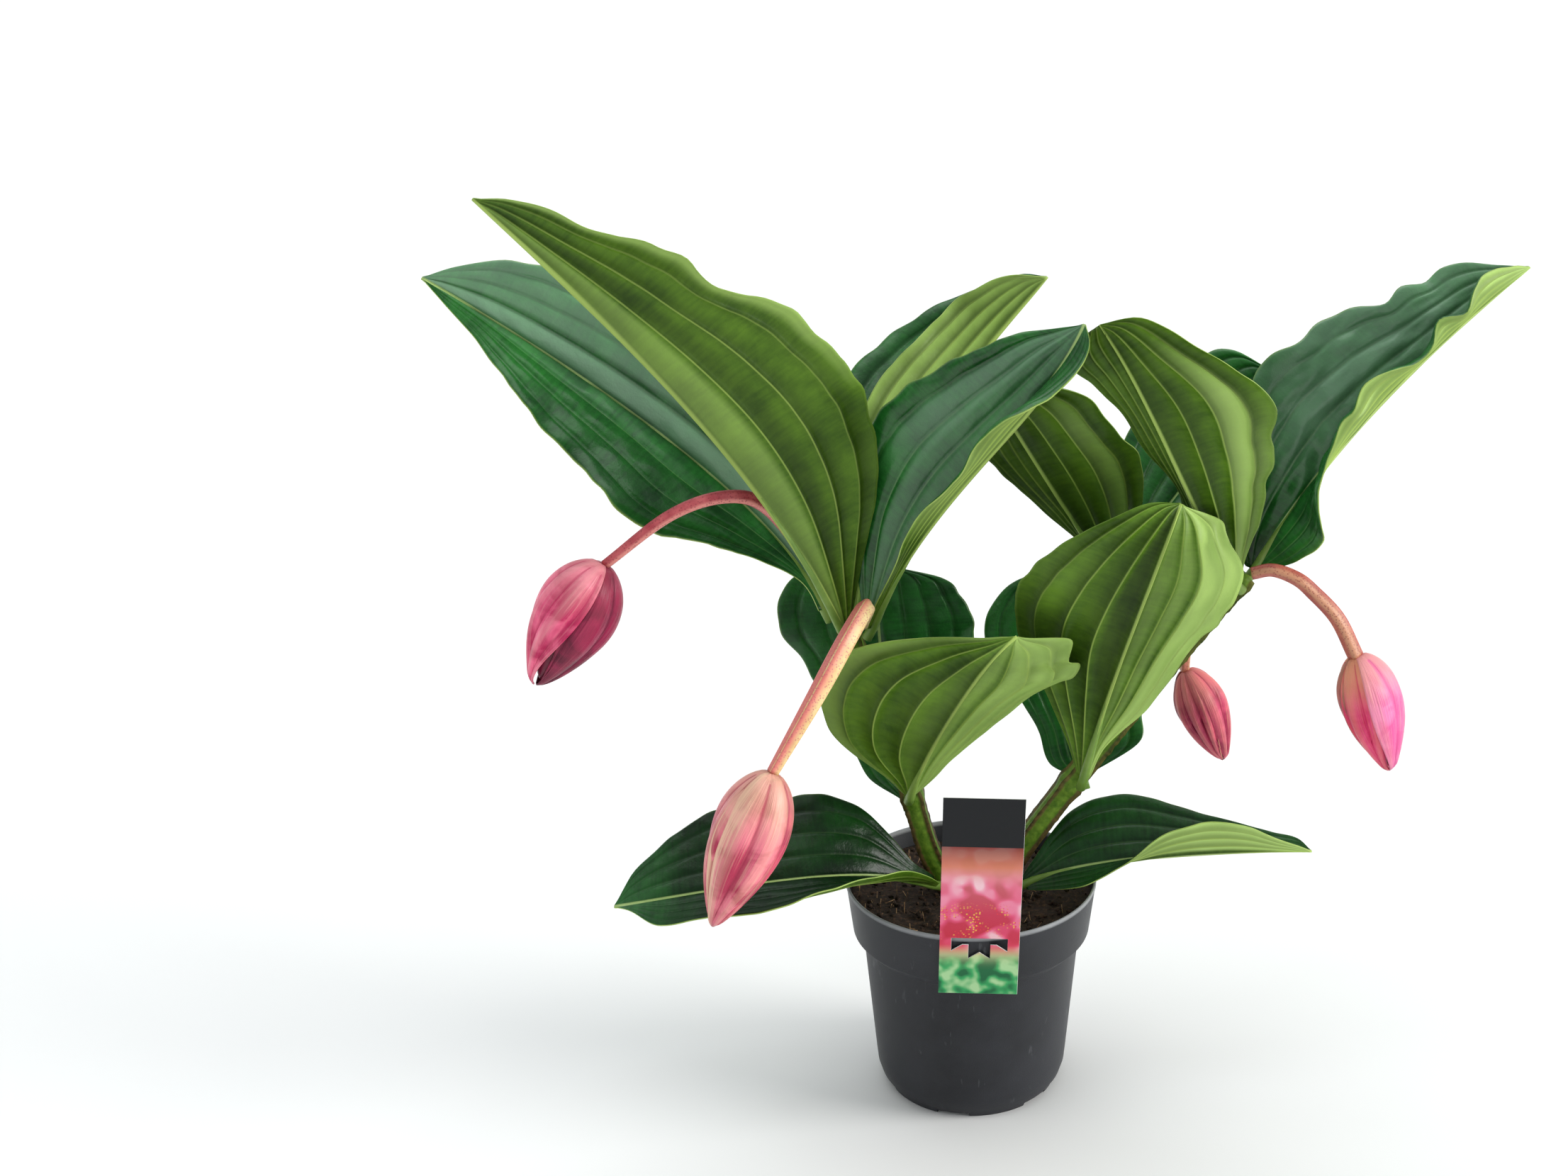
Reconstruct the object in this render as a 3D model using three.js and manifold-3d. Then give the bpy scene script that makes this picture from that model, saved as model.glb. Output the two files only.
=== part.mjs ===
// A medinilla in its nursery pot: two winged stems and a side shoot, fourteen
// ribbed leaves, four nodding flower buds, potting soil and a plant label.
//
// Millimetres, +Z up. The origin is the middle of the pot's foot, on the surface
// that the pot stands on. -Y is the side that the label faces.

import * as THREE from 'three';
import { mergeVertices } from 'three/addons/utils/BufferGeometryUtils.js';
import Module from 'manifold-3d';

const wasm = await Module();
wasm.setup();

// ---------------------------------------------------------------- dimensions

const POT_HEIGHT = 152;
const POT_RIM_RADIUS = 85;
const POT_WALL = 1.8;
const POT_SIDES = 36;
const COLLAR_DEPTH = 36;
const COLLAR_FOOT_RADIUS = 80.4;
const STEP_DEPTH = 7;
const WALL_TOP_RADIUS = 73.4;
const WALL_FOOT_RADIUS = 65.9;
const FOOT_RADIUS = 58.5;
const FOOT_HEIGHT = 3.5;
const FLOOR_HEIGHT = 7;
const CENTRE_FOOT_RADIUS = 9;

const SOIL_GAP = 0.4;
const SOIL_TOP = 138;
const STEM_HOLE_RADIUS = 11.6;
const STEM_HOLE_DEPTH = 24;

const LEAF_THICKNESS = 0.8;
const LEAF_QUILTING = 1.1;
const SIDE_VEIN_HEIGHT = 0.8;
const MIDRIB_HEIGHT_BASE = 1.7;
const MIDRIB_HEIGHT_TIP = 0.5;
const LEAF_TIP_HALF_WIDTH = 0.7;
const FULL_RELIEF_HALF_WIDTH = 42;

const LABEL_WIDTH = 51;
const LABEL_LENGTH = 150;
const LABEL_ABOVE_RIM = 106;
const LABEL_THICKNESS = 0.8;
const LABEL_LEAN = THREE.MathUtils.degToRad(7.5);
const LABEL_TILT = THREE.MathUtils.degToRad(1.6);
const LABEL_PLACE = 5.5;

// ------------------------------------------------------------------- finishes

const finish = (color, roughness) => new THREE.MeshStandardMaterial({ color, roughness, metalness: 0 });

const POT_PLASTIC = finish(0x3a3b3f, 0.55);
const PEAT = finish(0x2c211a, 0.95);
const GREEN_STEM = finish(0x5d8a2e, 0.5);
const LEAF_GREEN = finish(0x2c6234, 0.35);
const PINK_STALK = finish(0xd0705f, 0.5);
const PINK_BRACT = finish(0xdb6079, 0.45);
const LABEL_CARD = finish(0xb8574f, 0.4);

// -------------------------------------------------------------- solid helpers

const vector = ([x, y, z]) => new THREE.Vector3(x, y, z);

// A value that runs smoothly through given values at given stations.
function smoothThrough(stations, values, u) {
  const last = stations.length - 1;
  const slopeAt = (i) => {
    const before = Math.max(0, i - 1);
    const after = Math.min(last, i + 1);
    return (values[after] - values[before]) / (stations[after] - stations[before]);
  };
  let i = 0;
  while (i < last - 1 && u >= stations[i + 1]) i += 1;
  const span = stations[i + 1] - stations[i];
  const t = (u - stations[i]) / span;
  return (2 * t ** 3 - 3 * t ** 2 + 1) * values[i]
    + (t ** 3 - 2 * t ** 2 + t) * span * slopeAt(i)
    + (3 * t ** 2 - 2 * t ** 3) * values[i + 1]
    + (t ** 3 - t ** 2) * span * slopeAt(i + 1);
}

// The same for values that are evenly spaced from 0 to 1.
const along = (values, u) => smoothThrough(values.map((_, i) => i / (values.length - 1)), values, u);

// Joins the vertices of a geometry that share a place, so that its surface closes.
function welded(geometry) {
  const plain = geometry.clone();
  plain.deleteAttribute('normal');
  plain.deleteAttribute('uv');
  return mergeVertices(plain, 1e-4);
}

function toSolid(geometry) {
  const merged = welded(geometry);
  return new wasm.Manifold(new wasm.Mesh({
    numProp: 3,
    vertProperties: new Float32Array(merged.attributes.position.array),
    triVerts: new Uint32Array(merged.index.array),
  }));
}

function toGeometry(solid) {
  const mesh = solid.getMesh();
  const geometry = new THREE.BufferGeometry();
  geometry.setAttribute('position', new THREE.BufferAttribute(mesh.vertProperties, 3));
  geometry.setIndex(new THREE.BufferAttribute(mesh.triVerts, 1));
  return geometry;
}

// A closed sheet: a grid of points on its upper face and one on its under face,
// split into triangles alike, with a rim between them.
function closedSheet(rows, columns, facePoints) {
  const upper = [];
  const under = [];
  for (let row = 0; row <= rows; row += 1) {
    for (let column = 0; column <= columns; column += 1) {
      const points = facePoints(row, column);
      upper.push(...points.upper.toArray());
      under.push(...points.under.toArray());
    }
  }
  const at = (row, column) => row * (columns + 1) + column;
  const below = (rows + 1) * (columns + 1);
  const index = [];
  for (let row = 0; row < rows; row += 1) {
    for (let column = 0; column < columns; column += 1) {
      const a = at(row, column);
      const b = at(row, column + 1);
      const c = at(row + 1, column + 1);
      const d = at(row + 1, column);
      index.push(a, b, c, a, c, d);
      index.push(a + below, c + below, b + below, a + below, d + below, c + below);
    }
  }
  const rim = [];
  for (let column = 0; column < columns; column += 1) rim.push(at(0, column));
  for (let row = 0; row < rows; row += 1) rim.push(at(row, columns));
  for (let column = columns; column > 0; column -= 1) rim.push(at(rows, column));
  for (let row = rows; row > 0; row -= 1) rim.push(at(row, 0));
  rim.forEach((p, step) => {
    const q = rim[(step + 1) % rim.length];
    index.push(p, p + below, q + below, p, q + below, q);
  });
  const geometry = new THREE.BufferGeometry();
  geometry.setAttribute('position', new THREE.Float32BufferAttribute([...upper, ...under], 3));
  geometry.setIndex(index);
  return geometry;
}

// A closed cylinder bent along a curve, with its radius given by how far along it
// a point is and by the angle round it.
function limb(curve, { sides, steps, radius, twist = 0 }) {
  const geometry = welded(new THREE.CylinderGeometry(1, 1, 1, sides, steps));
  const frames = curve.computeFrenetFrames(steps);
  const positions = geometry.attributes.position;
  for (let i = 0; i < positions.count; i += 1) {
    const local = new THREE.Vector3().fromBufferAttribute(positions, i);
    const step = Math.round((0.5 - local.y) * steps);
    const t = step / steps;
    const angle = Math.atan2(local.z, local.x);
    const reach = Math.hypot(local.x, local.z) * radius(t, angle);
    const turned = angle + twist;
    const place = curve.getPointAt(t)
      .addScaledVector(frames.normals[step], reach * Math.cos(turned))
      .addScaledVector(frames.binormals[step], reach * Math.sin(turned));
    positions.setXYZ(i, place.x, place.y, place.z);
  }
  return geometry;
}

const group = new THREE.Group();

function addPiece(name, geometry, material) {
  const mesh = new THREE.Mesh(geometry, material);
  mesh.name = name;
  group.add(mesh);
}

// ------------------------------------------------------------------------ pot
// An injection-moulded nursery pot: a deep collar under the rim, a tapered wall
// and a rounded lower edge on a foot ring that is notched so that water runs out.
// A small foot under the middle of the floor keeps it from sagging.

function potGeometry() {
  const collarFoot = POT_HEIGHT - COLLAR_DEPTH;
  const wallTop = collarFoot - STEP_DEPTH;
  const profile = [
    [FOOT_RADIUS - 3, 0],
    [FOOT_RADIUS, 0],
    [FOOT_RADIUS + 1.5, FOOT_HEIGHT],
    [WALL_FOOT_RADIUS - 3.2, FOOT_HEIGHT + 4],
    [WALL_FOOT_RADIUS - 0.9, FOOT_HEIGHT + 11.5],
    [WALL_FOOT_RADIUS, FOOT_HEIGHT + 20.5],
    [WALL_TOP_RADIUS, wallTop],
    [COLLAR_FOOT_RADIUS, collarFoot],
    [POT_RIM_RADIUS - 0.6, POT_HEIGHT - 3.5],
    [POT_RIM_RADIUS, POT_HEIGHT - 2.5],
    [POT_RIM_RADIUS - 0.3, POT_HEIGHT],
    [POT_RIM_RADIUS - POT_WALL, POT_HEIGHT],
    [COLLAR_FOOT_RADIUS - POT_WALL, collarFoot],
    [WALL_TOP_RADIUS - POT_WALL, wallTop],
    [WALL_FOOT_RADIUS - POT_WALL - 0.6, FLOOR_HEIGHT + 9],
    [WALL_FOOT_RADIUS - POT_WALL - 4.5, FLOOR_HEIGHT],
    [0, FLOOR_HEIGHT],
    [0, 0],
    [CENTRE_FOOT_RADIUS, 0],
    [CENTRE_FOOT_RADIUS, FLOOR_HEIGHT - 2.4],
    [FOOT_RADIUS - 3.5, FLOOR_HEIGHT - 2.4],
  ];
  const points = profile.map(([r, z]) => new THREE.Vector2(r, z));
  points.push(points[0].clone());
  const lathe = new THREE.LatheGeometry(points, POT_SIDES).rotateX(Math.PI / 2);
  let pot = toSolid(lathe);

  const notchCount = 6;
  const notchWidth = 22;
  for (let k = 0; k < notchCount; k += 1) {
    const angle = (k / notchCount) * 2 * Math.PI + THREE.MathUtils.degToRad(258);
    const notch = new THREE.BoxGeometry(12, notchWidth, 2 * (FOOT_HEIGHT - 0.4))
      .translate(FOOT_RADIUS, 0, 0)
      .rotateZ(angle);
    pot = pot.subtract(toSolid(notch));
  }
  const drainRadius = 5;
  for (let k = 0; k < notchCount; k += 1) {
    const angle = ((k + 0.5) / notchCount) * 2 * Math.PI;
    const drain = new THREE.CylinderGeometry(drainRadius, drainRadius, 12, 6)
      .rotateX(Math.PI / 2)
      .translate(40 * Math.cos(angle), 40 * Math.sin(angle), FLOOR_HEIGHT - 1);
    pot = pot.subtract(toSolid(drain));
  }
  return toGeometry(pot);
}

// ---------------------------------------------------------------------- stems
// Medinilla stems are four-angled, with a corky wing on each angle.

const LEFT_STEM_PATH = new THREE.CatmullRomCurve3([
  [-7, 8, 122], [-17, 5, 146], [-29, 2, 172], [-43, 0, 224], [-62, 0, 279], [-81, 0, 336],
].map(vector));
const RIGHT_STEM_PATH = new THREE.CatmullRomCurve3([
  [10, 8, 122], [21, 5, 146], [36, 2, 175], [75, 0, 233], [125, 0, 302], [176, 0, 368],
].map(vector));
const SIDE_SHOOT_PATH = new THREE.CatmullRomCurve3([
  [80, 1, 240], [90, 12, 268], [97, 26, 312], [102, 34, 358],
].map(vector));

const STEM_SIDES = 16;

// Radius of a winged stem: a round body that thins upwards, with four thin wings.
function wingedRadius(bodyAtFoot, bodyAtTop, wing) {
  return (t, angle) => {
    const quarterTurns = (angle / (Math.PI / 2)) + 0.5;
    const fromWing = Math.abs(quarterTurns - Math.round(quarterTurns));
    const body = THREE.MathUtils.lerp(bodyAtFoot, bodyAtTop, t);
    return body + (fromWing < 0.1 ? wing : 0);
  };
}

const winged = (path, steps, bodyAtFoot, bodyAtTop, wing) =>
  limb(path, { sides: STEM_SIDES, steps, radius: wingedRadius(bodyAtFoot, bodyAtTop, wing) });

const leftStem = winged(LEFT_STEM_PATH, 12, 7.2, 5.6, 3);
const rightStem = toGeometry(
  toSolid(winged(RIGHT_STEM_PATH, 13, 7.2, 5.6, 3))
    .add(toSolid(winged(SIDE_SHOOT_PATH, 7, 4.6, 4, 1.6))),
);

// ----------------------------------------------------------------------- soil
// Peat fills the pot to a hand's breadth under the rim, in low lumps, and each
// stem stands in a plain hole along its own slope.

function soilGeometry() {
  const rings = [0, 16, 32, 48, 62, 74];
  const sides = 30;
  const lump = (ring, side) =>
    1.6 * Math.sin(2.7 * side + 1.3 * ring) + 1.2 * Math.sin(1.9 * side - 2.2 * ring + 0.8);
  const collarFoot = POT_HEIGHT - COLLAR_DEPTH;
  const bottom = [
    [WALL_TOP_RADIUS - POT_WALL - SOIL_GAP, collarFoot - STEP_DEPTH],
    [WALL_FOOT_RADIUS - POT_WALL - 0.6 - SOIL_GAP, FLOOR_HEIGHT + 9],
    [WALL_FOOT_RADIUS - POT_WALL - 5, FLOOR_HEIGHT + SOIL_GAP],
    [0, FLOOR_HEIGHT + SOIL_GAP],
  ];
  const slope = (POT_RIM_RADIUS - COLLAR_FOOT_RADIUS) / COLLAR_DEPTH;
  const edgeRadius = COLLAR_FOOT_RADIUS - POT_WALL - SOIL_GAP - 0.6;
  const edge = [
    [edgeRadius + slope * (SOIL_TOP - collarFoot) - 0.4, SOIL_TOP],
    [edgeRadius, collarFoot + 0.5],
  ];
  const profile = [...rings.map((r) => [r, SOIL_TOP]), ...edge, ...bottom];
  const lathe = welded(new THREE.LatheGeometry(
    profile.map(([r, z]) => new THREE.Vector2(r, z)).reverse(), sides,
  ).rotateX(Math.PI / 2));
  const positions = lathe.attributes.position;
  for (let i = 0; i < positions.count; i += 1) {
    if (Math.abs(positions.getZ(i) - SOIL_TOP) > 0.01) continue;
    const r = Math.hypot(positions.getX(i), positions.getY(i));
    const ring = Math.round(r / 15);
    const side = Math.round((Math.atan2(positions.getY(i), positions.getX(i)) / (2 * Math.PI)) * sides);
    if (r < 75) positions.setZ(i, SOIL_TOP + lump(ring, r < 1 ? 0 : side));
  }
  let soil = toSolid(lathe);
  for (const path of [LEFT_STEM_PATH, RIGHT_STEM_PATH]) {
    const foot = path.getPointAt(0);
    const direction = path.getTangentAt(0.02);
    const hole = new THREE.CylinderGeometry(STEM_HOLE_RADIUS, STEM_HOLE_RADIUS, 2 * STEM_HOLE_DEPTH, 20)
      .translate(0, STEM_HOLE_DEPTH - 1.5, 0)
      .applyQuaternion(new THREE.Quaternion().setFromUnitVectors(new THREE.Vector3(0, 1, 0), direction))
      .translate(foot.x, foot.y, foot.z);
    soil = soil.subtract(toSolid(hole));
  }
  return toGeometry(soil);
}

// --------------------------------------------------------------------- leaves
// Each leaf is a blade on a midrib: a cubic through four places, from the node to
// the tip. `face` is the way the upper side looks at the base and at the tip.
// Each half has its own widths at the stations below, folds up from the midrib
// (degrees, evenly spaced from base to tip), curls further towards its margin,
// and may ripple or sweep forward. `lobes` widen the margin by a share, and `waves`
// lift it in millimetres, at evenly spaced places too. Three pairs of side veins run from the base to
// the tip, as on the real leaf.

const WIDTH_STATIONS = [0, 0.1, 0.25, 0.4, 0.55, 0.7, 0.85, 0.95, 1];
const VEIN_LINES = [0, 0.26, 0.53, 0.79, 1];
const HALF_COLUMNS = VEIN_LINES.flatMap((vein, k) =>
  (k === 0 || k === VEIN_LINES.length - 1 ? [vein] : [(VEIN_LINES[k - 1] + vein) / 2, vein]));
const LEAF_COLUMNS = [...HALF_COLUMNS.slice(1).reverse().map((q) => -q), ...HALF_COLUMNS];

const FLAT_HALF = { curl: [0, 0, 0], ripple: [0, 0, 0], lobes: [0, 0], waves: [0, 0], sweep: [0, 0] };

const wave = ([size, count, phase], u) => size * Math.sin(2 * Math.PI * (count * u + phase));

const halfWidth = (half, u) =>
  Math.max(LEAF_TIP_HALF_WIDTH, smoothThrough(WIDTH_STATIONS, half.widths, u));

// A midrib through four places as a Bezier curve.
function midribCurve(places) {
  const [p0, p1, p2, p3] = places.map(vector);
  const mix = (a, b, c, d) => new THREE.Vector3()
    .addScaledVector(p0, a).addScaledVector(p1, b).addScaledVector(p2, c).addScaledVector(p3, d)
    .divideScalar(6);
  return new THREE.CubicBezierCurve3(p0, mix(-5, 18, -9, 2), mix(2, -9, 18, -5), p3);
}

function leafGeometry({ midrib, face, rows, left, right }) {
  const curve = midribCurve(midrib);
  const halves = { left: { ...FLAT_HALF, ...left }, right: { ...FLAT_HALF, ...right } };
  const columns = LEAF_COLUMNS.length - 1;
  return closedSheet(rows, columns, (row, column) => {
    const u = row / rows;
    const v = LEAF_COLUMNS[column];
    const q = Math.abs(v);
    const half = v < 0 ? halves.left : halves.right;
    const away = v < 0 ? -1 : 1;

    const forward = curve.getTangent(u);
    const up = vector(face[0]).lerp(vector(face[1]), u);
    up.addScaledVector(forward, -up.dot(forward)).normalize();
    const across = new THREE.Vector3().crossVectors(forward, up).multiplyScalar(away);

    const reach = halfWidth(half, u) * (1 + along(half.lobes, u) * q ** 3);
    const fold = THREE.MathUtils.degToRad(along(half.fold, u));
    let curl = THREE.MathUtils.degToRad(along(half.curl, u));
    if (Math.abs(curl) < 1e-4) curl = 1e-4;
    const slope = fold + curl * q;
    const out = (reach / curl) * (Math.sin(slope) - Math.sin(fold));
    const lift = -(reach / curl) * (Math.cos(slope) - Math.cos(fold));
    const normal = up.clone().multiplyScalar(Math.cos(slope)).addScaledVector(across, -Math.sin(slope));

    const onVein = VEIN_LINES.includes(q);
    const fullness = Math.min(1, reach / FULL_RELIEF_HALF_WIDTH);
    const ripple = (wave(half.ripple, u) * Math.sqrt(Math.sin(Math.PI * u)) + along(half.waves, u)) * q ** 2.5;
    const quilting = onVein ? 0 : LEAF_QUILTING * fullness;
    const upper = curve.getPoint(u)
      .addScaledVector(across, out)
      .addScaledVector(up, lift)
      .addScaledVector(normal, ripple + quilting)
      .addScaledVector(forward, along(half.sweep, u) * reach * u * q * q);

    let depth = LEAF_THICKNESS;
    if (q === 0) depth += THREE.MathUtils.lerp(MIDRIB_HEIGHT_BASE, MIDRIB_HEIGHT_TIP, u);
    else if (onVein && q < 1) depth += SIDE_VEIN_HEIGHT * fullness;
    const crossing = v === 0 ? up : normal;
    return { upper, under: upper.clone().addScaledVector(crossing, -depth) };
  });
}

const LEAVES = {
  leaf_left_tall: {
    midrib: [[-82, -13, 335], [-133, -45, 443], [-200, -75, 538], [-279, -80, 619]],
    face: [[0.6, 0.6, 0.5], [0.7, 0.45, 0.6]],
    rows: 18,
    left: { widths: [5, 32, 73, 89, 79, 58, 33, 15, 0], fold: [70, 62, 50], ripple: [3, 4, 0.1],
      lobes: [0, 0, 0, 0, 0, 0, 0, 0, 0, 0, 0.02, 0.03, -0.04, -0.08, 0.05, 0.05, -0.04, -0.05, 0.1, 0.06, 0] },
    right: { widths: [5, 26, 56, 72, 68, 52, 30, 13, 0], fold: [85, 70, 50, 45, 45], ripple: [2, 3, 0.1] },
  },
  leaf_left_broad: {
    midrib: [[-95, 9, 341], [-159, 42, 412], [-258, 66, 484], [-354, 70, 546]],
    face: [[0.3, -0.5, 0.8], [0.2, -0.5, 0.8]],
    rows: 12,
    left: { widths: [5, 7, 44, 78, 66, 49, 20, 8, 0], fold: [8, 8, 5], curl: [0, 0, -10], ripple: [2, 4, 0.4] },
    right: { widths: [5, 28, 56, 66, 66, 58, 43, 18, 0], fold: [55, 60, 60], curl: [0, -10, -10],
      ripple: [3, 4, 0] },
  },
  leaf_centre_back: {
    midrib: [[-76, 13, 331], [-44, 55, 418], [-2, 90, 481], [50, 100, 541]],
    face: [[-0.7, 0.2, 0.65], [-0.7, 0.2, 0.65]],
    rows: 10,
    left: { widths: [5, 30, 56, 68, 71, 58, 38, 20, 0], fold: [60, 60, 50], curl: [0, 10, 0], ripple: [2, 3, 0] },
    right: { widths: [5, 25, 48, 56, 55, 46, 38, 23, 0], fold: [50, 50, 50], ripple: [2, 3, 0] },
  },
  leaf_centre_front: {
    midrib: [[-64, -13, 337], [-20, -30, 419], [30, -50, 485], [66, -58, 543]],
    face: [[-0.7, 0, 0.65], [-0.7, -0.1, 0.6]],
    rows: 12,
    left: { widths: [5, 24, 56, 69, 62, 49, 33, 13, 0], fold: [70, 62, 60], curl: [0, 10, 0], ripple: [2, 3, 0] },
    right: { widths: [5, 7, 21, 29, 35, 45, 27, 12, 0], fold: [28, 26, 24, 18, -45], ripple: [2, 3.5, 0.1] },
  },
  leaf_right_upright: {
    midrib: [[168, -11, 367], [143, -30, 414], [111, -52, 481], [76, -50, 541]],
    face: [[0.3, 0.8, 0.5], [0.3, 0.8, 0.3]],
    rows: 13,
    left: { widths: [5, 13, 30, 48, 64, 70, 46, 27, 0], fold: [25, 15, 5, -3, -14], curl: [0, 10, 0],
      ripple: [2, 3, 0],
      lobes: [0, 0, 0, 0, 0, 0, 0, 0, -0.03, 0.02, 0, -0.03, 0.02, 0.03, 0, -0.03, 0, 0.05, 0.1, 0.1, 0] },
    right: { widths: [5, 14, 22, 19, 24, 26, 25, 26, 12], fold: [50, 42, 35, 15, -45], ripple: [2, 3, 0] },
  },
  leaf_right_long: {
    midrib: [[182, 10, 368], [223, -5, 444], [276, -10, 510], [339, 0, 566]],
    face: [[-0.5, -0.5, 0.7], [-0.5, -0.4, 0.7]],
    rows: 20,
    left: { widths: [5, 40, 60, 70, 61, 42, 30, 12, 0], fold: [60, 55, 50, 45, 40],
      lobes: [0, 0, 0, 0, 0, 0, 0.02, -0.02, 0, 0.03, -0.02, 0.02, 0.04, 0.06, -0.04, 0.12, -0.02, 0.14, 0.16,
        0.05, 0],
      waves: [0, 0, 0, -1, 1, 2, -1, -3, 0, 3, 4, -1, -5, -2, 5, 3, -4, 0, 2, 0, 0] },
    right: { widths: [5, 24, 44, 44, 50, 36, 36, 18, 0], fold: [-30, -5, 44, 52, 54, 54, 56],
      waves: [0, 0, 0, 0, 0, 0, 0, 0, 0, 2, 3, 7, 4, -4, -3, 6, -4, 6, 8, 4, 0] },
  },
  leaf_shoot_front: {
    midrib: [[91, 27, 361], [58, 15, 413], [28, 5, 463], [7, 5, 495]],
    face: [[0.4, 0.8, 0.4], [0.4, 0.8, 0.4]],
    rows: 9,
    left: { widths: [5, 26, 52, 65, 66, 58, 30, 12, 0], fold: [10, 0, 0], curl: [10, 10, 0], ripple: [2, 3, 0] },
    right: { widths: [5, 14, 28, 50, 56, 48, 30, 12, 0], fold: [30, 25, 20, 25, 30], ripple: [2, 3, 0] },
  },
  leaf_shoot_back: {
    midrib: [[107, 44, 362], [136, 75, 395], [172, 95, 434], [207, 100, 474]],
    face: [[-0.3, -0.7, 0.6], [-0.3, -0.7, 0.6]],
    rows: 9,
    left: { widths: [5, 20, 38, 50, 56, 56, 48, 34, 0], fold: [25, 20, 20], ripple: [2, 3, 0] },
    right: { widths: [5, 22, 44, 60, 66, 58, 36, 16, 0], fold: [25, 20, 20], ripple: [2, 3, 0] },
  },
  leaf_mid_right_front: {
    midrib: [[74, -13, 231], [91, -38, 312], [109, -60, 381], [127, -48, 430]],
    face: [[0, 0.8, 0.5], [0, 0.7, 0.2]],
    rows: 13,
    left: { widths: [4, 9, 29, 41, 53, 59, 38, 20, 0], fold: [0, 5, 5], curl: [0, 10, 20],
      ripple: [2, 3, 0], sweep: [0, 0, 0, 0, 0, 0, 0.05, 0.15, 0.45, 0.6, 0.6],
      lobes: [0, 0, 0, 0, 0, 0, 0, 0, 0, 0, 0, 0.02, -0.02, 0, 0.03, 0.02, -0.04, -0.03, 0.05, 0.04, 0] },
    right: { widths: [4, 22, 52, 76, 74, 60, 38, 18, 0], fold: [30, 10, -10], curl: [10, 20, 30],
      ripple: [2, 3, 0] },
  },
  leaf_mid_left_front: {
    midrib: [[-40, -14, 219], [-25, -36, 263], [1, -54, 314], [28, -56, 347]],
    face: [[-0.1, 0.8, 0.45], [-0.1, 0.8, 0.2]],
    rows: 15,
    left: { widths: [4, 12, 21, 36, 49, 60, 35, 9, 0], fold: [10, 10, 0], curl: [10, 10, -10],
      sweep: [0, 0, 0.2, 0.4, 0.56, 0.6, 0.6, 0.5, 0.8, 1.3, 1.4],
      lobes: [0, 0, 0, 0, 0, 0, 0, 0, 0, 0, 0, 0, 0, 0, 0.04, 0.08, -0.08, 0.02, 0.05, 0, 0],
      waves: [0, 0, 0, 0, 0, 0, 0, 0, 0, 0, 0, 0, 0, 0, 0, 4, -4, 2, 0, 0, 0] },
    right: { widths: [4, 20, 64, 82, 79, 49, 17, 4, 0], fold: [6, 6, 6, 4, 0], curl: [10, 20, 30],
      ripple: [1, 3, 0] },
  },
  leaf_mid_left_back: {
    midrib: [[-44, 14, 203], [-55, 32, 258], [-62, 50, 307], [-62, 62, 354]],
    face: [[0, -0.8, 0.5], [0, -0.6, 0.7]],
    rows: 9,
    left: { widths: [4, 22, 30, 40, 50, 65, 66, 46, 0], fold: [10, 5, 0], curl: [-10, -10, -10],
      ripple: [2, 3, 0] },
    right: { widths: [4, 20, 38, 53, 62, 64, 56, 42, 0], fold: [10, 5, 0], curl: [-10, -10, -10],
      ripple: [2, 3, 0] },
  },
  leaf_mid_right_back: {
    midrib: [[75, 14, 219], [65, 36, 259], [59, 60, 301], [65, 70, 337]],
    face: [[0, -0.8, 0.5], [0, -0.6, 0.7]],
    rows: 9,
    left: { widths: [4, 20, 22, 30, 42, 50, 42, 24, 0], fold: [10, 5, 0], curl: [-10, -10, -10],
      ripple: [2, 3, 0] },
    right: { widths: [4, 42, 49, 56, 62, 62, 56, 42, 0], fold: [10, 5, 0], curl: [-10, -10, -10],
      ripple: [2, 3, 0] },
  },
  leaf_low_left: {
    midrib: [[-25, -9, 150], [-83, -50, 178], [-153, -66, 178], [-231, -62, 162]],
    face: [[0, -0.55, 0.85], [0, -0.6, 0.8]],
    rows: 11,
    left: { widths: [4, 14, 30, 40, 40, 34, 26, 6, 0], fold: [35, 30, 32, 30, 15], curl: [70, 65, 20, 0, 0],
      ripple: [1, 3, 0] },
    right: { widths: [5, 13, 48, 58, 58, 56, 43, 23, 0], fold: [35, 8, 5], curl: [-10, -10, -10],
      ripple: [2, 3, 0] },
  },
  leaf_low_right: {
    midrib: [[36, -10, 151], [90, -18, 171], [162, -25, 182], [225, -25, 183]],
    face: [[0, -0.55, 0.85], [0, -0.3, 0.9]],
    rows: 11,
    left: { widths: [4, 15, 40, 48, 38, 24, 14, 9, 0], fold: [30, 10, 20], ripple: [1, 3, 0] },
    right: { widths: [5, 11, 18, 26, 44, 38, 15, 5, 0], fold: [-15, 12, 68, 80, 80], ripple: [1, 3, 0] },
  },
};

// --------------------------------------------------------- stalks and buds
// A flower stalk grows from the axil of a leaf, arches over and hangs a bud of
// large bracts. `radii` are the stalk's at its base, its middle and the bud.

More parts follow.
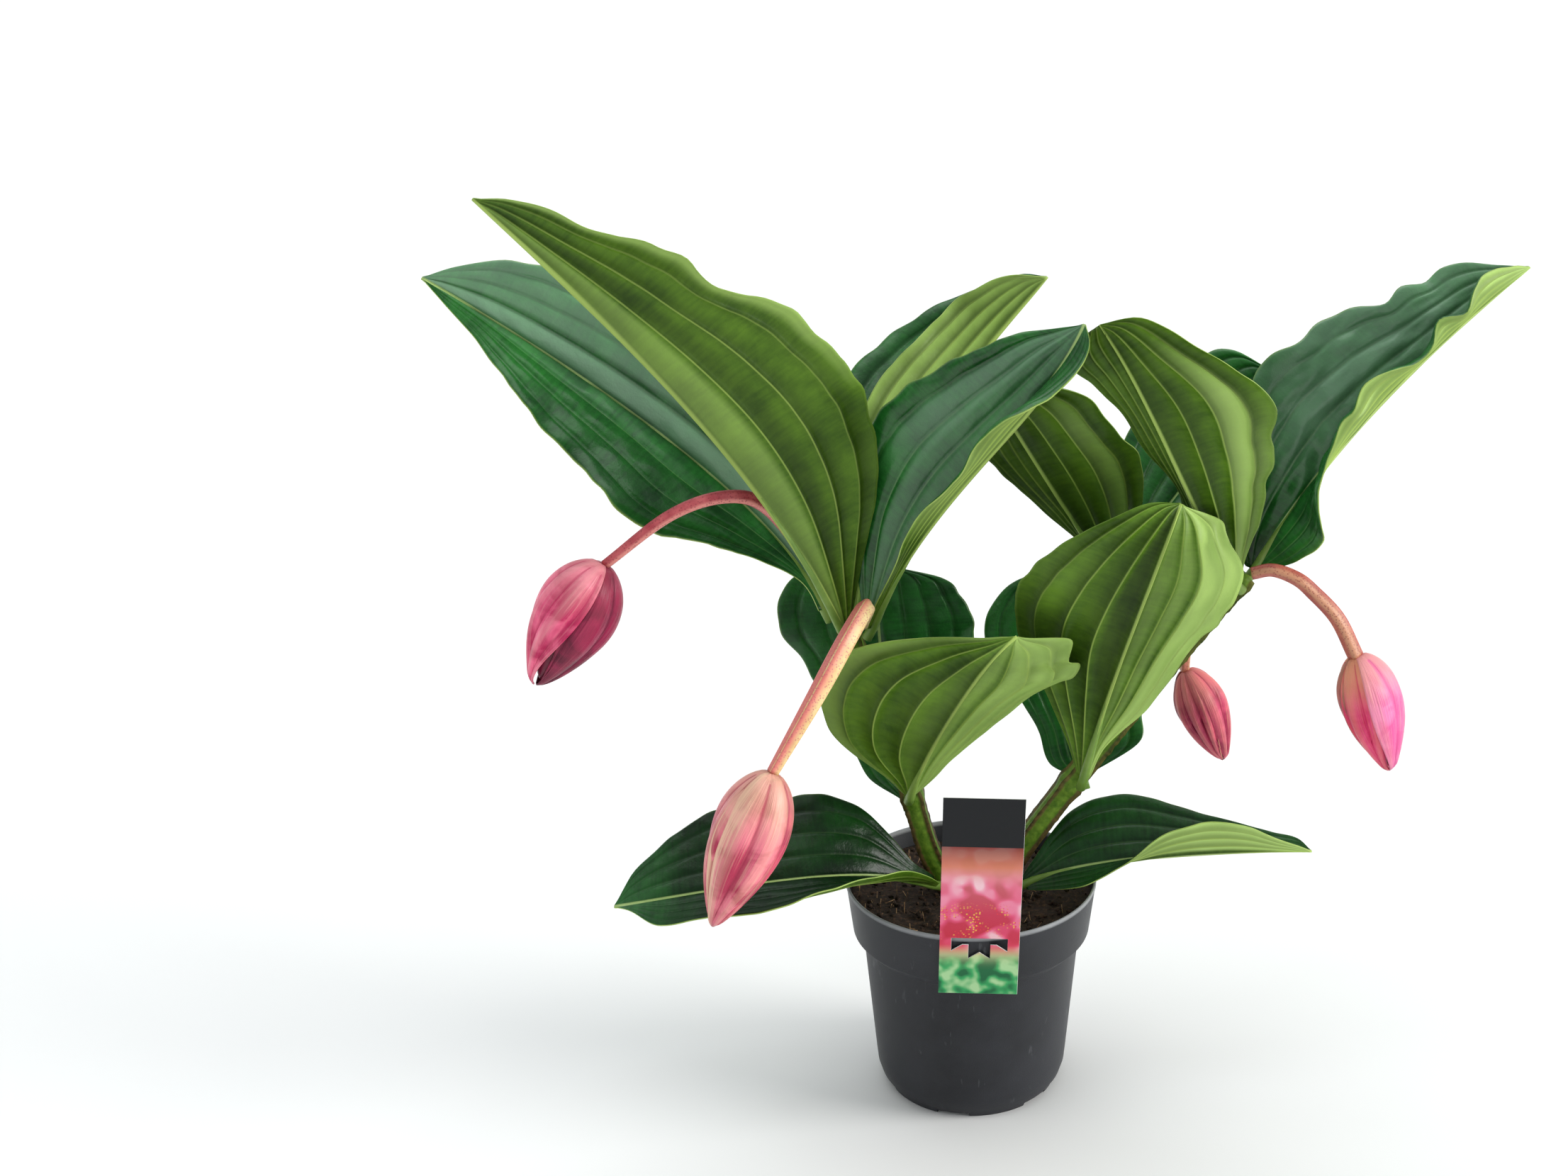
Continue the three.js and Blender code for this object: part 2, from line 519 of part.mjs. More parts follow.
const FLOWERS = {
  left: {
    stalk: [[-87, -3, 347], [-104, -8, 383], [-127, -22, 420], [-151, -33, 430], [-184, -42, 421], [-225, -48, 391]],
    radii: [4.3, 4.4, 3.2],
    tip: [-271, -55, 315], budRadius: 24.5, turn: 0.9,
  },
  front: {
    stalk: [[-71, -20, 341], [-66, -38, 359], [-76, -62, 348], [-95, -85, 318], [-121, -100, 275]],
    radii: [5, 5.8, 3.6],
    tip: [-160, -112, 177], budRadius: 24, turn: 0.4,
  },
  right: {
    stalk: [[178, -13, 373], [191, -15, 376], [206, -17, 371], [217, -18, 362], [233, -20, 345], [246, -20, 320]],
    radii: [3.8, 4.6, 4.8],
    tip: [272, -24, 242], budRadius: 19.5, turn: 0.5,
  },
  back: {
    stalk: [[114, 34, 356], [130, 70, 356], [145, 93, 322], [151, 99, 285], [151, 100, 261]],
    radii: [3.5, 3.5, 3.3],
    tip: [181, 98, 194], budRadius: 17.5, turn: 0.7,
  },
};

const BUD_GAP = 0.5;
const STALK_KEEL = 0.12;

function stalkGeometry({ stalk, radii }) {
  const path = new THREE.CatmullRomCurve3(stalk.map(vector));
  return limb(path, {
    sides: 8,
    steps: 14,
    radius: (t, angle) => along(radii, t) * (1 + STALK_KEEL * Math.cos(4 * angle)),
  });
}

// A bud stands for its bracts in relief: an outer pair that overlaps an inner
// pair along edges that turn round the bud, and a keel down each bract.
function budGeometry({ stalk, tip, budRadius, turn }) {
  const sides = 20;
  const levels = 12;
  const bractEdge = 1.3;
  const base = vector(stalk[stalk.length - 1]);
  const axis = vector(tip).sub(base);
  const length = axis.length() - BUD_GAP;
  axis.normalize();
  base.addScaledVector(axis, BUD_GAP);
  const side = new THREE.Vector3(0, -1, 0);
  side.addScaledVector(axis, -side.dot(axis)).normalize();
  const other = new THREE.Vector3().crossVectors(axis, side);

  const geometry = welded(new THREE.SphereGeometry(1, sides, levels));
  const positions = geometry.attributes.position;
  for (let i = 0; i < positions.count; i += 1) {
    const local = new THREE.Vector3().fromBufferAttribute(positions, i).normalize();
    const t = Math.acos(THREE.MathUtils.clamp(local.y, -1, 1)) / Math.PI;
    const angle = Math.atan2(local.z, local.x);
    const fullness = Math.max(0, Math.sin(Math.PI * t ** 0.72)) ** 0.8;
    const halfTurns = (angle + turn * t) / Math.PI;
    const fromOuterKeel = Math.abs(halfTurns - Math.round(halfTurns)) * Math.PI;
    const covered = fromOuterKeel < 1.15 - 0.35 * t ? bractEdge * fullness : 0;
    const keel = 0.05 * Math.cos(4 * (angle + turn * t));
    const r = budRadius * fullness * (1 + keel) + covered;
    const place = base.clone()
      .addScaledVector(axis, t * length)
      .addScaledVector(side, r * Math.cos(angle))
      .addScaledVector(other, r * Math.sin(angle));
    positions.setXYZ(i, place.x, place.y, place.z);
  }
  return geometry;
}

// ---------------------------------------------------------------------- label
// A printed plastic label hooks over the rim: a T-shaped cut leaves a tongue
// that is pushed behind the rim while the card stands in front of it.

function labelGeometry() {
  const slotTop = LABEL_LENGTH - LABEL_ABOVE_RIM;
  const slotDepth = 16;
  const barWidth = 36;
  const barDepth = 5;
  const tongueWidth = 14;
  const outline = new THREE.Shape();
  outline.moveTo(-LABEL_WIDTH / 2, 0);
  outline.lineTo(LABEL_WIDTH / 2, 0);
  outline.lineTo(LABEL_WIDTH / 2, LABEL_LENGTH);
  outline.lineTo(-LABEL_WIDTH / 2, LABEL_LENGTH);
  outline.closePath();
  const cut = new THREE.Path();
  cut.moveTo(-barWidth / 2, slotTop);
  cut.lineTo(-barWidth / 2, slotTop - barDepth - 5);
  cut.lineTo(-barWidth / 2 + 7, slotTop - barDepth);
  cut.lineTo(-tongueWidth / 2, slotTop - barDepth);
  cut.lineTo(-tongueWidth / 2, slotTop - slotDepth);
  cut.lineTo(0, slotTop - slotDepth + 5);
  cut.lineTo(tongueWidth / 2, slotTop - slotDepth);
  cut.lineTo(tongueWidth / 2, slotTop - barDepth);
  cut.lineTo(barWidth / 2 - 7, slotTop - barDepth);
  cut.lineTo(barWidth / 2, slotTop - barDepth - 5);
  cut.lineTo(barWidth / 2, slotTop);
  cut.closePath();
  outline.holes.push(cut);
  const card = new THREE.ExtrudeGeometry(outline, { depth: LABEL_THICKNESS, bevelEnabled: false, steps: 1 });

  // The tongue's side view: over the rim, then down inside the pot.
  const reach = POT_WALL + 3.2;
  const t = LABEL_THICKNESS;
  const tongueDrop = 9;
  const side = new THREE.Shape([
    [0.4, 0], [-reach, 0], [-reach - 0.5, -tongueDrop], [-reach - 0.5 - t, -tongueDrop],
    [-reach - t, t], [0.4, t],
  ].map(([x, y]) => new THREE.Vector2(x, y)));
  const tongue = new THREE.ExtrudeGeometry(side, { depth: tongueWidth, bevelEnabled: false, steps: 1 })
    .translate(0, 0, -tongueWidth / 2)
    .rotateY(-Math.PI / 2)
    .translate(0, slotTop, 0);
  const label = toSolid(card).add(toSolid(tongue));

  // The card's own plane is X and Y, with its printed side towards +Z: it is stood
  // up to face -Y, leaned outwards and hung with the top of the cut on the rim.
  return toGeometry(label)
    .translate(0, -slotTop, 0)
    .rotateZ(-LABEL_TILT)
    .rotateX(Math.PI / 2 + LABEL_LEAN)
    .translate(LABEL_PLACE, -POT_RIM_RADIUS - 0.9, POT_HEIGHT + 0.6);
}

// ------------------------------------------------------------------- assembly

addPiece('pot', potGeometry(), POT_PLASTIC);
addPiece('soil', soilGeometry(), PEAT);
addPiece('stem_left', leftStem, GREEN_STEM);
addPiece('stem_right', rightStem, GREEN_STEM);
for (const [name, leaf] of Object.entries(LEAVES)) addPiece(name, leafGeometry(leaf), LEAF_GREEN);
for (const [place, flower] of Object.entries(FLOWERS)) {
  addPiece(`flower_stalk_${place}`, stalkGeometry(flower), PINK_STALK);
  addPiece(`flower_bud_${place}`, budGeometry(flower), PINK_BRACT);
}
addPiece('label', labelGeometry(), LABEL_CARD);

export default group;
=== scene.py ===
# %% [markdown]
# # A medinilla in its nursery pot
#
# This lesson dresses a potted medinilla in Blender. A packed set of solids gives
# the size and the place of every piece, and the cells below build each piece again
# with a fine surface: ribbed leaves, winged stems, bracts, peat, pot and label.
# Lengths in the tables are millimetres, because that is how a plant is measured,
# and `MM` turns them into Blender's metres.

# %% Tools and the frame
import math
import random

import bmesh
import bpy
from mathutils import Matrix, Vector, geometry, noise


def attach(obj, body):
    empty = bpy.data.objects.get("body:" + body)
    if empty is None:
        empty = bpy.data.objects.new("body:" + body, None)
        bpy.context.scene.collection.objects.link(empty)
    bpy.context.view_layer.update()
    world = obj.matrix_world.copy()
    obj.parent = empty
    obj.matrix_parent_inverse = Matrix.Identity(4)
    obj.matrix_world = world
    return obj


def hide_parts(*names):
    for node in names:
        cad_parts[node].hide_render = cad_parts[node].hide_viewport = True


MM = 0.001
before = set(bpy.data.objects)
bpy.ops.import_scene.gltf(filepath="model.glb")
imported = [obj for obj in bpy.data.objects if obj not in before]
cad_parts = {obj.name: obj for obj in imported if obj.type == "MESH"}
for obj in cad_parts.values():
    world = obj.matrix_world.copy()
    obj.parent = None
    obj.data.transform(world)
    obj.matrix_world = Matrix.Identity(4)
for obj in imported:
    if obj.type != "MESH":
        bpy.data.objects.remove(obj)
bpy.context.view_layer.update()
print("solids:", len(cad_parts))

# %% [markdown]
# ## Camera and light
#
# The camera stands a little over a metre in front of the pot and looks down by
# about twenty degrees, as a person does at a plant on a table. The plant stands
# left of the lens's middle, so the lens is shifted.

# %% The camera
camera_data = bpy.data.cameras.new("camera")
camera_data.sensor_width = 36
camera_data.lens = 45.21
camera_data.shift_x = -0.1193
camera = bpy.data.objects.new("camera", camera_data)
camera.location = (0, -1.19198, 0.78579)
camera.rotation_euler = (math.radians(90 - 19.7155), 0, 0)
bpy.context.scene.collection.objects.link(camera)
bpy.context.scene.camera = camera
print("camera at", tuple(round(c, 3) for c in camera.location))

# %% [markdown]
# Leaves are read by their gloss and their relief, so the light is soft but comes
# from somewhere: a strong lamp at the right draws the ribs and rounds the pot, and
# a wide one overhead, a little behind, lays the broad sheen on the waxy upper sides.
# A weak lamp fills from the left, and the pale floor and room light what faces down.

# %% The light
scene = bpy.context.scene
scene.view_settings.view_transform = "Standard"

world = bpy.data.worlds.new("pale room")
world.use_nodes = True
world.node_tree.nodes["Background"].inputs["Color"].default_value = (0.93, 0.97, 1.0, 1)
world.node_tree.nodes["Background"].inputs["Strength"].default_value = 0.42
scene.world = world


def add_sky_lamp(name, comes_from, width, strength, tint):
    """A far lamp as wide as `width` degrees of sky, that shines from a direction."""
    data = bpy.data.lights.new(name, "SUN")
    data.angle = math.radians(width)
    data.energy = strength
    data.color = tint
    lamp = bpy.data.objects.new(name, data)
    lamp.rotation_euler = Vector(comes_from).to_track_quat("Z", "Y").to_euler()
    scene.collection.objects.link(lamp)
    return lamp


add_sky_lamp("right lamp", (1.0, -0.15, 0.3), 30, 2.8, (1.0, 0.99, 0.96))
add_sky_lamp("overhead lamp", (-0.1, 0.2, 1.0), 60, 1.5, (0.96, 0.99, 1.0))
add_sky_lamp("left lamp", (-0.9, -0.4, 0.5), 40, 0.25, (0.98, 0.99, 1.0))
print("lamps:", len(bpy.data.lights))

# %% [markdown]
# ## Colours, nodes and pieces
#
# Colours are written as sRGB hex values, as a paint card gives them, and Blender
# works in linear light, so one function turns them over. Patterns are given by the
# real width of their cells. A shader node is added in one line: its inputs come as a
# list, in the order in which the node shows them, or by name.

# %% Helpers for colours and nodes
PAINT = {"data_type": "RGBA"}
SMOOTH = {"interpolation_type": "SMOOTHSTEP"}


def colour(hex_value):
    """An sRGB hex value such as "#2f6a37" as linear red, green, blue and alpha."""
    parts = [int(hex_value[i : i + 2], 16) / 255 for i in (1, 3, 5)]
    return (*[p / 12.92 if p <= 0.04045 else ((p + 0.055) / 1.055) ** 2.4 for p in parts], 1)


def per(width):
    """The scale that makes a pattern's cells so many millimetres wide on the plant."""
    return 1 / (width * MM)


def plug(node, inputs):
    """Gives inputs of a node a value, a hex colour, or another node's first output."""
    if isinstance(inputs, dict):
        pairs = [(node.inputs[name], value) for name, value in inputs.items()]
    else:
        pairs = zip([socket for socket in node.inputs if socket.enabled], inputs)
    for socket, value in pairs:
        if isinstance(value, bpy.types.Node):
            value = next(output for output in value.outputs if output.enabled)
        if isinstance(value, bpy.types.NodeSocket):
            node.id_data.links.new(value, socket)
        else:
            socket.default_value = colour(value) if isinstance(value, str) else value


def add(material, kind, inputs=(), stops=None, **settings):
    """Adds a shader node with its settings and inputs. `stops` are a ramp's hex colours."""
    node = material.node_tree.nodes.new("ShaderNode" + kind)
    for name, value in settings.items():
        setattr(node, name, value)
    plug(node, inputs)
    if stops:
        ramp = node.color_ramp.elements
        while len(ramp) < len(stops):
            ramp.new(1)
        for element, (position, shade) in zip(ramp, stops.items()):
            element.position = position
            element.color = colour(shade)
    return node


def new_material(name):
    """An empty material with only its Principled shader."""
    material = bpy.data.materials.new(name)
    material.use_nodes = True
    return material, material.node_tree.nodes["Principled BSDF"]


print("a leaf green in linear light:", [round(part, 3) for part in colour("#2f6a37")])

# %% [markdown]
# Every piece ends the same way: its mesh becomes an object at the origin, with
# smooth shading, its materials, and a ride on the plant's one body.

# %% Helpers for pieces
def new_object(name, bm, *materials):
    """Turns a bmesh into an object of the scene and frees the bmesh."""
    mesh = bpy.data.meshes.new(name)
    bm.to_mesh(mesh)
    bm.free()
    for material in materials:
        mesh.materials.append(material)
    thing = bpy.data.objects.new(name, mesh)
    scene.collection.objects.link(thing)
    return thing


def finish_piece(name, bm, materials, node, smooth=True):
    """Turns a bmesh into a piece of the plant that stands for the solid `node`."""
    for face in bm.faces:
        face.smooth = smooth
    piece = new_object(name, bm, *materials)
    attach(piece, "root")
    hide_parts(node)
    print(name, "faces:", len(piece.data.polygons))
    return piece


# %% [markdown]
# Stems and stalks are one ring of vertices, extruded along a curve. The ring is
# turned as little as it can be from step to step, so its angles run straight.

# %% Helpers for stems and stalks
def curve_through(places, steps):
    """Evenly spread points on a smooth curve through the places, in metres."""
    knots = [Vector(p) * MM for p in places]
    slopes = []
    for i in range(len(knots)):
        before = knots[max(0, i - 1)]
        after = knots[min(len(knots) - 1, i + 1)]
        slopes.append((after - before) / (2 if 0 < i < len(knots) - 1 else 1))
    dense = []
    for i in range(len(knots) - 1):
        handles = (knots[i] + slopes[i] / 3, knots[i + 1] - slopes[i + 1] / 3)
        dense += geometry.interpolate_bezier(knots[i], *handles, knots[i + 1], 40)[:-1]
    dense.append(knots[-1])
    runs = [0.0]
    for a, b in zip(dense, dense[1:]):
        runs.append(runs[-1] + (b - a).length)
    points = []
    i = 0
    for step in range(steps + 1):
        goal = runs[-1] * step / steps
        while i < len(dense) - 2 and runs[i + 1] < goal:
            i += 1
        share = (goal - runs[i]) / (runs[i + 1] - runs[i])
        points.append(dense[i].lerp(dense[i + 1], min(1, share)))
    return points


def frames_along(points, side):
    """A matrix at each point: Z runs along the curve, and X turns as little as it can."""
    matrices = []
    for i, point in enumerate(points):
        ahead = (points[min(len(points) - 1, i + 1)] - points[max(0, i - 1)]).normalized()
        side = (side - ahead * side.dot(ahead)).normalized()
        matrices.append(Matrix((side, ahead.cross(side), ahead)).transposed().to_4x4())
        matrices[-1].translation = point
    return matrices


def sweep(bm, points, side, sides, radius):
    """Extrudes a ring along a curve and closes its ends. `radius` is in millimetres."""
    uv_share = bm.loops.layers.uv.verify()
    rings = []
    last = len(points) - 1
    frames = frames_along(points, Vector(side))
    start = bmesh.ops.create_circle(bm, segments=sides, radius=1)["verts"]
    angles = [math.atan2(v.co.y, v.co.x) for v in start]
    ring = start
    edges = list({e for v in start for e in v.link_edges})
    for i, matrix in enumerate(frames):
        if i:
            grown = bmesh.ops.extrude_edge_only(bm, edges=edges)["geom"]
            # The new ring keeps the old one's order, which the links between them give.
            fresh = {g for g in grown if isinstance(g, bmesh.types.BMVert)}
            edges = [g for g in grown if isinstance(g, bmesh.types.BMEdge)
                     and all(v in fresh for v in g.verts)]
            ring = [next(e.other_vert(v) for e in v.link_edges if e.other_vert(v) in fresh) for v in ring]
        for vert, angle in zip(ring, angles):
            reach = radius(i / last, angle) * MM
            vert.co = matrix @ Vector((reach * math.cos(angle), reach * math.sin(angle), 0))
        rings.append(ring)
    for end in (rings[0], rings[-1]):
        cap = bmesh.ops.contextual_create(bm, geom=end)["faces"]
        bmesh.ops.poke(bm, faces=cap)
    skin = list({f for ring in rings for v in ring for f in v.link_faces})
    bmesh.ops.recalc_face_normals(bm, faces=skin)
    height = {v: i / last for i, ring in enumerate(rings) for v in ring}
    turn = {v: a for ring in rings for v, a in zip(ring, angles)}
    for face in skin:
        for loop in face.loops:
            loop[uv_share].uv = (height.get(loop.vert, 0), turn.get(loop.vert, 0) / math.tau + 0.5)
    return skin


# %% [markdown]
# ## Leaves
#
# A medinilla leaf is a thick, leathery blade with a strong midrib and three pairs
# of side veins that run from its base to its tip, joined by fine cross veins like
# the rungs of a ladder. On the upper side the veins lie in grooves, and on the
# under side they stand out as ridges. Between them the blade bulges a little.
#
# Each leaf starts as a flat grid from a bmesh operator. Its midrib is a curve
# through four places, and `face` is the way its upper side looks at the base and at
# the tip. Each half has tables of its own, so a leaf can cup, twist and show both of
# its sides: `widths` in millimetres, `fold` and `curl` in degrees, the size, number
# and phase of its `ripple`, further `waves` in millimetres, `lobes` of its margin as
# shares of the width, and `sweep`, how far the margin leans towards the tip.

# %% The shape of a leaf blade
BLADE_ROWS = 96
HALF_COLUMNS = 38
VEIN_SPACING = 3.8  # side veins lie at 1/3.8, 2/3.8 and 3/3.8 of the half width
BLADE_THICKNESS = 0.8
WIDTH_STATIONS = [0, 0.1, 0.25, 0.4, 0.55, 0.7, 0.85, 0.95, 1]
NARROWEST = 0.7
NO_CURL = 1e-4  # stands for a flat half, whose curl would divide by zero
PLAIN_HALF = {"curl": [0, 0, 0], "ripple": [2, 3, 0], "lobes": [0, 0], "waves": [0, 0], "sweep": [0, 0]}


def smooth_through(stations, values, u):
    """A value that runs smoothly through given values at given stations."""
    last = len(stations) - 1

    def slope_at(i):
        before, after = max(0, i - 1), min(last, i + 1)
        return (values[after] - values[before]) / (stations[after] - stations[before])

    i = 0
    while i < last - 1 and u >= stations[i + 1]:
        i += 1
    span = stations[i + 1] - stations[i]
    t = (u - stations[i]) / span
    return (
        (2 * t**3 - 3 * t**2 + 1) * values[i]
        + (t**3 - 2 * t**2 + t) * span * slope_at(i)
        + (3 * t**2 - 2 * t**3) * values[i + 1]
        + (t**3 - t**2) * span * slope_at(i + 1)
    )


def along(values, u):
    """The same for values that are evenly spaced from 0 to 1."""
    last = len(values) - 1
    return smooth_through([i / last for i in range(last + 1)], values, u)


def midrib_handles(places):
    """The four handles of the Bezier curve that passes through four places."""
    p0, p1, p2, p3 = (Vector(p) for p in places)
    first = (-5 * p0 + 18 * p1 - 9 * p2 + 2 * p3) / 6
    second = (2 * p0 - 9 * p1 + 18 * p2 - 5 * p3) / 6
    return p0, first, second, p3


def bezier(handles, u):
    """The place on a Bezier curve at u, and the direction there."""
    p0, p1, p2, p3 = handles
    w = 1 - u
    place = w**3 * p0 + 3 * w * w * u * p1 + 3 * w * u * u * p2 + u**3 * p3
    ahead = w * w * (p1 - p0) + 2 * w * u * (p2 - p1) + u * u * (p3 - p2)
    return place, ahead.normalized()


def half_reach(half, u):
    """How far a half of the blade reaches from the midrib at u, in millimetres."""
    return max(NARROWEST, smooth_through(WIDTH_STATIONS, half["widths"], u))


def blade_section(leaf, u):
    """All that stays the same across the blade at u, in millimetres."""
    place, ahead = bezier(leaf["handles"], u)
    up = Vector(leaf["face"][0]).lerp(Vector(leaf["face"][1]), u)
    up = (up - ahead * up.dot(ahead)).normalized()
    section = {"place": place, "ahead": ahead, "up": up, "side": ahead.cross(up)}
    for name in ("left", "right"):
        half = {**PLAIN_HALF, **leaf[name]}
        size, count, phase = half["ripple"]
        wave = size * math.sin(math.tau * (count * u + phase)) * math.sqrt(abs(math.sin(math.pi * u)))
        curl = math.radians(along(half["curl"], u))
        section[name] = {
            "reach": half_reach(half, u),
            "fold": math.radians(along(half["fold"], u)),
            "curl": curl if abs(curl) > NO_CURL else NO_CURL,
            "wave": wave + along(half["waves"], u),
            "lobe": along(half["lobes"], u),
            "sweep": along(half["sweep"], u),
        }
    return section


print("a blade has", BLADE_ROWS, "rows and", 2 * HALF_COLUMNS, "columns")

# %% [markdown]
# The relief across the blade is worked out in millimetres from the nearest vein,
# so the veins keep a natural width however wide the leaf is. Noise of a few
# millimetres to a few centimetres makes the margin uneven and the blade puckered.

# %% The relief of a leaf blade
SIDE_VEINS = 3
FULL_REACH = 42  # a half that is narrower bulges less
THIN_BASE = 0.3
QUILTING, BLISTER = 3.0, 0.7
VEIN_GROOVE, GROOVE_WIDTH = 0.55, 0.9
VEIN_RIDGE, RIDGE_WIDTH = 1.2, 1.0
RIB_AT_BASE, RIB_LOSS, RIB_WIDTH = 2.0, 1.5, 1.9
UNEVEN_SHARE, UNEVEN_CELL = 0.035, 15
PUCKER_CELL, DIMPLE_CELL, DIMPLE_SHARE = (17, 13), (9, 7), 0.4
CALM_GAP = 4  # nearer to a vein than this the blade puckers less
FRILL, FRILL_CELL = 3.0, 24


def bulge_between_veins(steps):
    """A flat cushion between two veins, from 0 on a vein to 1 in the middle of the band."""
    band = min(1, steps % 1 if steps < SIDE_VEINS else (steps - SIDE_VEINS) / (VEIN_SPACING - SIDE_VEINS))
    return 0.5 * math.sin(math.pi * band) + 0.5 * (1 - abs(2 * band - 1) ** 4)


def blade_point(leaf, section, u, v, under):
    """A point of the blade's upper or under side, in millimetres."""
    left = v < 0
    half = section["left" if left else "right"]
    q = abs(v)
    fold, curl = half["fold"], half["curl"]
    run, seed = u * leaf["length"], leaf["seed"]
    uneven = noise.noise(Vector((run / UNEVEN_CELL, seed, 9 if left else 13)))
    reach = half["reach"] * (1 + (half["lobe"] + UNEVEN_SHARE * uneven) * q**3)
    across = section["side"] * (-1 if left else 1)
    slope = fold + curl * q
    out = reach / curl * (math.sin(slope) - math.sin(fold))
    lift = -reach / curl * (math.cos(slope) - math.cos(fold))
    normal = section["up"] * math.cos(slope) - across * math.sin(slope)

    steps = q * VEIN_SPACING
    gap = abs(steps - min(SIDE_VEINS, round(steps))) / VEIN_SPACING * reach
    fullness = min(1, reach / FULL_REACH)
    # The blade stays thin at its base and where its two halves nearly meet.
    room = fullness**2 * min(1, u / THIN_BASE) * min(1, 0.2 + 2 * math.cos(fold))
    height = half["wave"] * q**2.5 + leaf.get("quilting", QUILTING) * room * bulge_between_veins(steps)
    pucker = noise.noise(Vector((run / PUCKER_CELL[0], v * reach / PUCKER_CELL[1], seed)))
    dimple = noise.noise(Vector((run / DIMPLE_CELL[0], v * reach / DIMPLE_CELL[1], seed + 5)))
    puckered = (pucker + DIMPLE_SHARE * dimple) * min(1, gap / CALM_GAP)
    height += leaf.get("blister", BLISTER) * puckered * room
    height += FRILL * noise.noise(Vector((run / FRILL_CELL, seed, 1 if left else 5))) * q**4 * fullness
    if under:
        rib = (RIB_AT_BASE - RIB_LOSS * u) * math.exp(-((q * reach / RIB_WIDTH) ** 2))
        height -= BLADE_THICKNESS + rib + VEIN_RIDGE * fullness * math.exp(-((gap / RIDGE_WIDTH) ** 2))
    else:
        height -= VEIN_GROOVE * fullness * math.exp(-((gap / GROOVE_WIDTH) ** 2))
    lifted = (normal if q > 0.02 else section["up"]) * height
    swept = section["ahead"] * (half["sweep"] * reach * u * q * q)
    return section["place"] + across * out + section["up"] * lift + lifted + swept


print("grooves of", VEIN_GROOVE, "mm above and ridges of", VEIN_RIDGE, "mm below")

# %% [markdown]
# A blade is closed: the grid is copied and turned over for the under side, and a
# bridge between the two rims makes the margin. A thick foot, swept along the first
# third of the midrib, carries the leaf out of the stem.

# %% From a blade to a leaf
FOOT_DEPTH = 9
FOOT_RADII = [3.4, 3.0, 2.0, 0.6]
FOOT_STATIONS = (0, 0.05, 0.12, 0.2, 0.3)
LIGHT_PATCH_EDGE_ACROSS, LIGHT_PATCH_EDGE_AHEAD = 0.07, 0.2


def foot_of_leaf(leaf):
    """Points along the thick base of the midrib, from inside the stem to the blade."""
    place, ahead = bezier(leaf["handles"], 0)
    up = blade_section(leaf, 0)["up"]
    points = [place - ahead * FOOT_DEPTH]
    points += [bezier(leaf["handles"], u)[0] - up * (BLADE_THICKNESS + 0.6) for u in FOOT_STATIONS]
    return [point * MM for point in points]


def painted_light_and_shade_at(leaf, painted_patches_key, u, v):
    """How light (above 0) or dark (below 0) one side of the blade is at a point.

    A patch of painted light or shade covers the blade from one place across it to another, and from one place
    along it to another, and fades out at the patch's ends.
    """
    value = leaf.get("painted_light_and_shade", 0)
    for low, high, start, end, amount in leaf.get(painted_patches_key, []):
        for inwards, edge in ((v - low, LIGHT_PATCH_EDGE_ACROSS), (high - v, LIGHT_PATCH_EDGE_ACROSS),
                              (u - start, LIGHT_PATCH_EDGE_AHEAD), (end - u, LIGHT_PATCH_EDGE_AHEAD)):
            amount *= min(1, max(0, inwards / edge))
        value += amount
    return value


def build_leaf(name, leaf, materials):
    """A leaf of one mesh: upper side, under side, margin and the foot of its midrib."""
    leaf["handles"] = midrib_handles(leaf["midrib"])
    line = [bezier(leaf["handles"], i / 40)[0] for i in range(41)]
    leaf["length"] = sum((b - a).length for a, b in zip(line, line[1:]))
    leaf["seed"] = sum(ord(letter) for letter in name) * 0.37

    bm = bmesh.new()
    share = bm.loops.layers.uv.new("share")
    size = bm.loops.layers.uv.new("size")
    painted_light_and_shade = bm.verts.layers.float.new("painted_light_and_shade")
    bmesh.ops.create_grid(bm, x_segments=BLADE_ROWS, y_segments=2 * HALF_COLUMNS, size=1)
    for face in bm.faces:
        for loop in face.loops:
            u, v = (loop.vert.co.x + 1) / 2, loop.vert.co.y
            reach = half_reach(leaf["left" if v < 0 else "right"], u)
            loop[share].uv = (u, v)
            loop[size].uv = (u * leaf["length"], v * reach)
    copy = bmesh.ops.duplicate(bm, geom=bm.verts[:] + bm.edges[:] + bm.faces[:])["geom"]
    under_faces = [g for g in copy if isinstance(g, bmesh.types.BMFace)]
    under_verts = {g for g in copy if isinstance(g, bmesh.types.BMVert)}
    bmesh.ops.reverse_faces(bm, faces=under_faces)
    for face in under_faces:
        face.material_index = 1
    margin = bmesh.ops.bridge_loops(bm, edges=[e for e in bm.edges if e.is_boundary])["faces"]
    for face in margin:
        face.material_index = 2

    sections = {}
    for vert in bm.verts:
        u, v = (vert.co.x + 1) / 2, vert.co.y
        row = round(u * 10000)
        if row not in sections:
            sections[row] = blade_section(leaf, u)
        under = vert in under_verts
        # Each vertex carries the light (above 0) or shade (below 0) painted on its side.
        vert[painted_light_and_shade] = painted_light_and_shade_at(leaf, "under_painted_light" if under else "upper_painted_light", u, v)
        vert.co = blade_point(leaf, sections[row], u, v, under) * MM
    bmesh.ops.recalc_face_normals(bm, faces=bm.faces)

    foot = sweep(bm, foot_of_leaf(leaf), (0, 0, 1), 12, lambda t, angle: along(FOOT_RADII, t))
    for face in foot:
        face.material_index = 3
    return finish_piece(name + "_blade", bm, materials, name)


print("a leaf starts", FOOT_DEPTH, "mm inside its stem")

# %% [markdown]
# A leaf has four finishes. The upper side is a waxy, deep green skin that mirrors
# the sky; the under side is paler, duller and yellower, with straw-green ridges;
# the cut margin and the foot of the midrib are pale.
#
# The veins are drawn from the blade's own maps: `share` runs from base to tip and
# from margin to margin, and `size` holds the same in millimetres.

# %% Leaf finishes
MARGIN_GREEN = "#94b455"


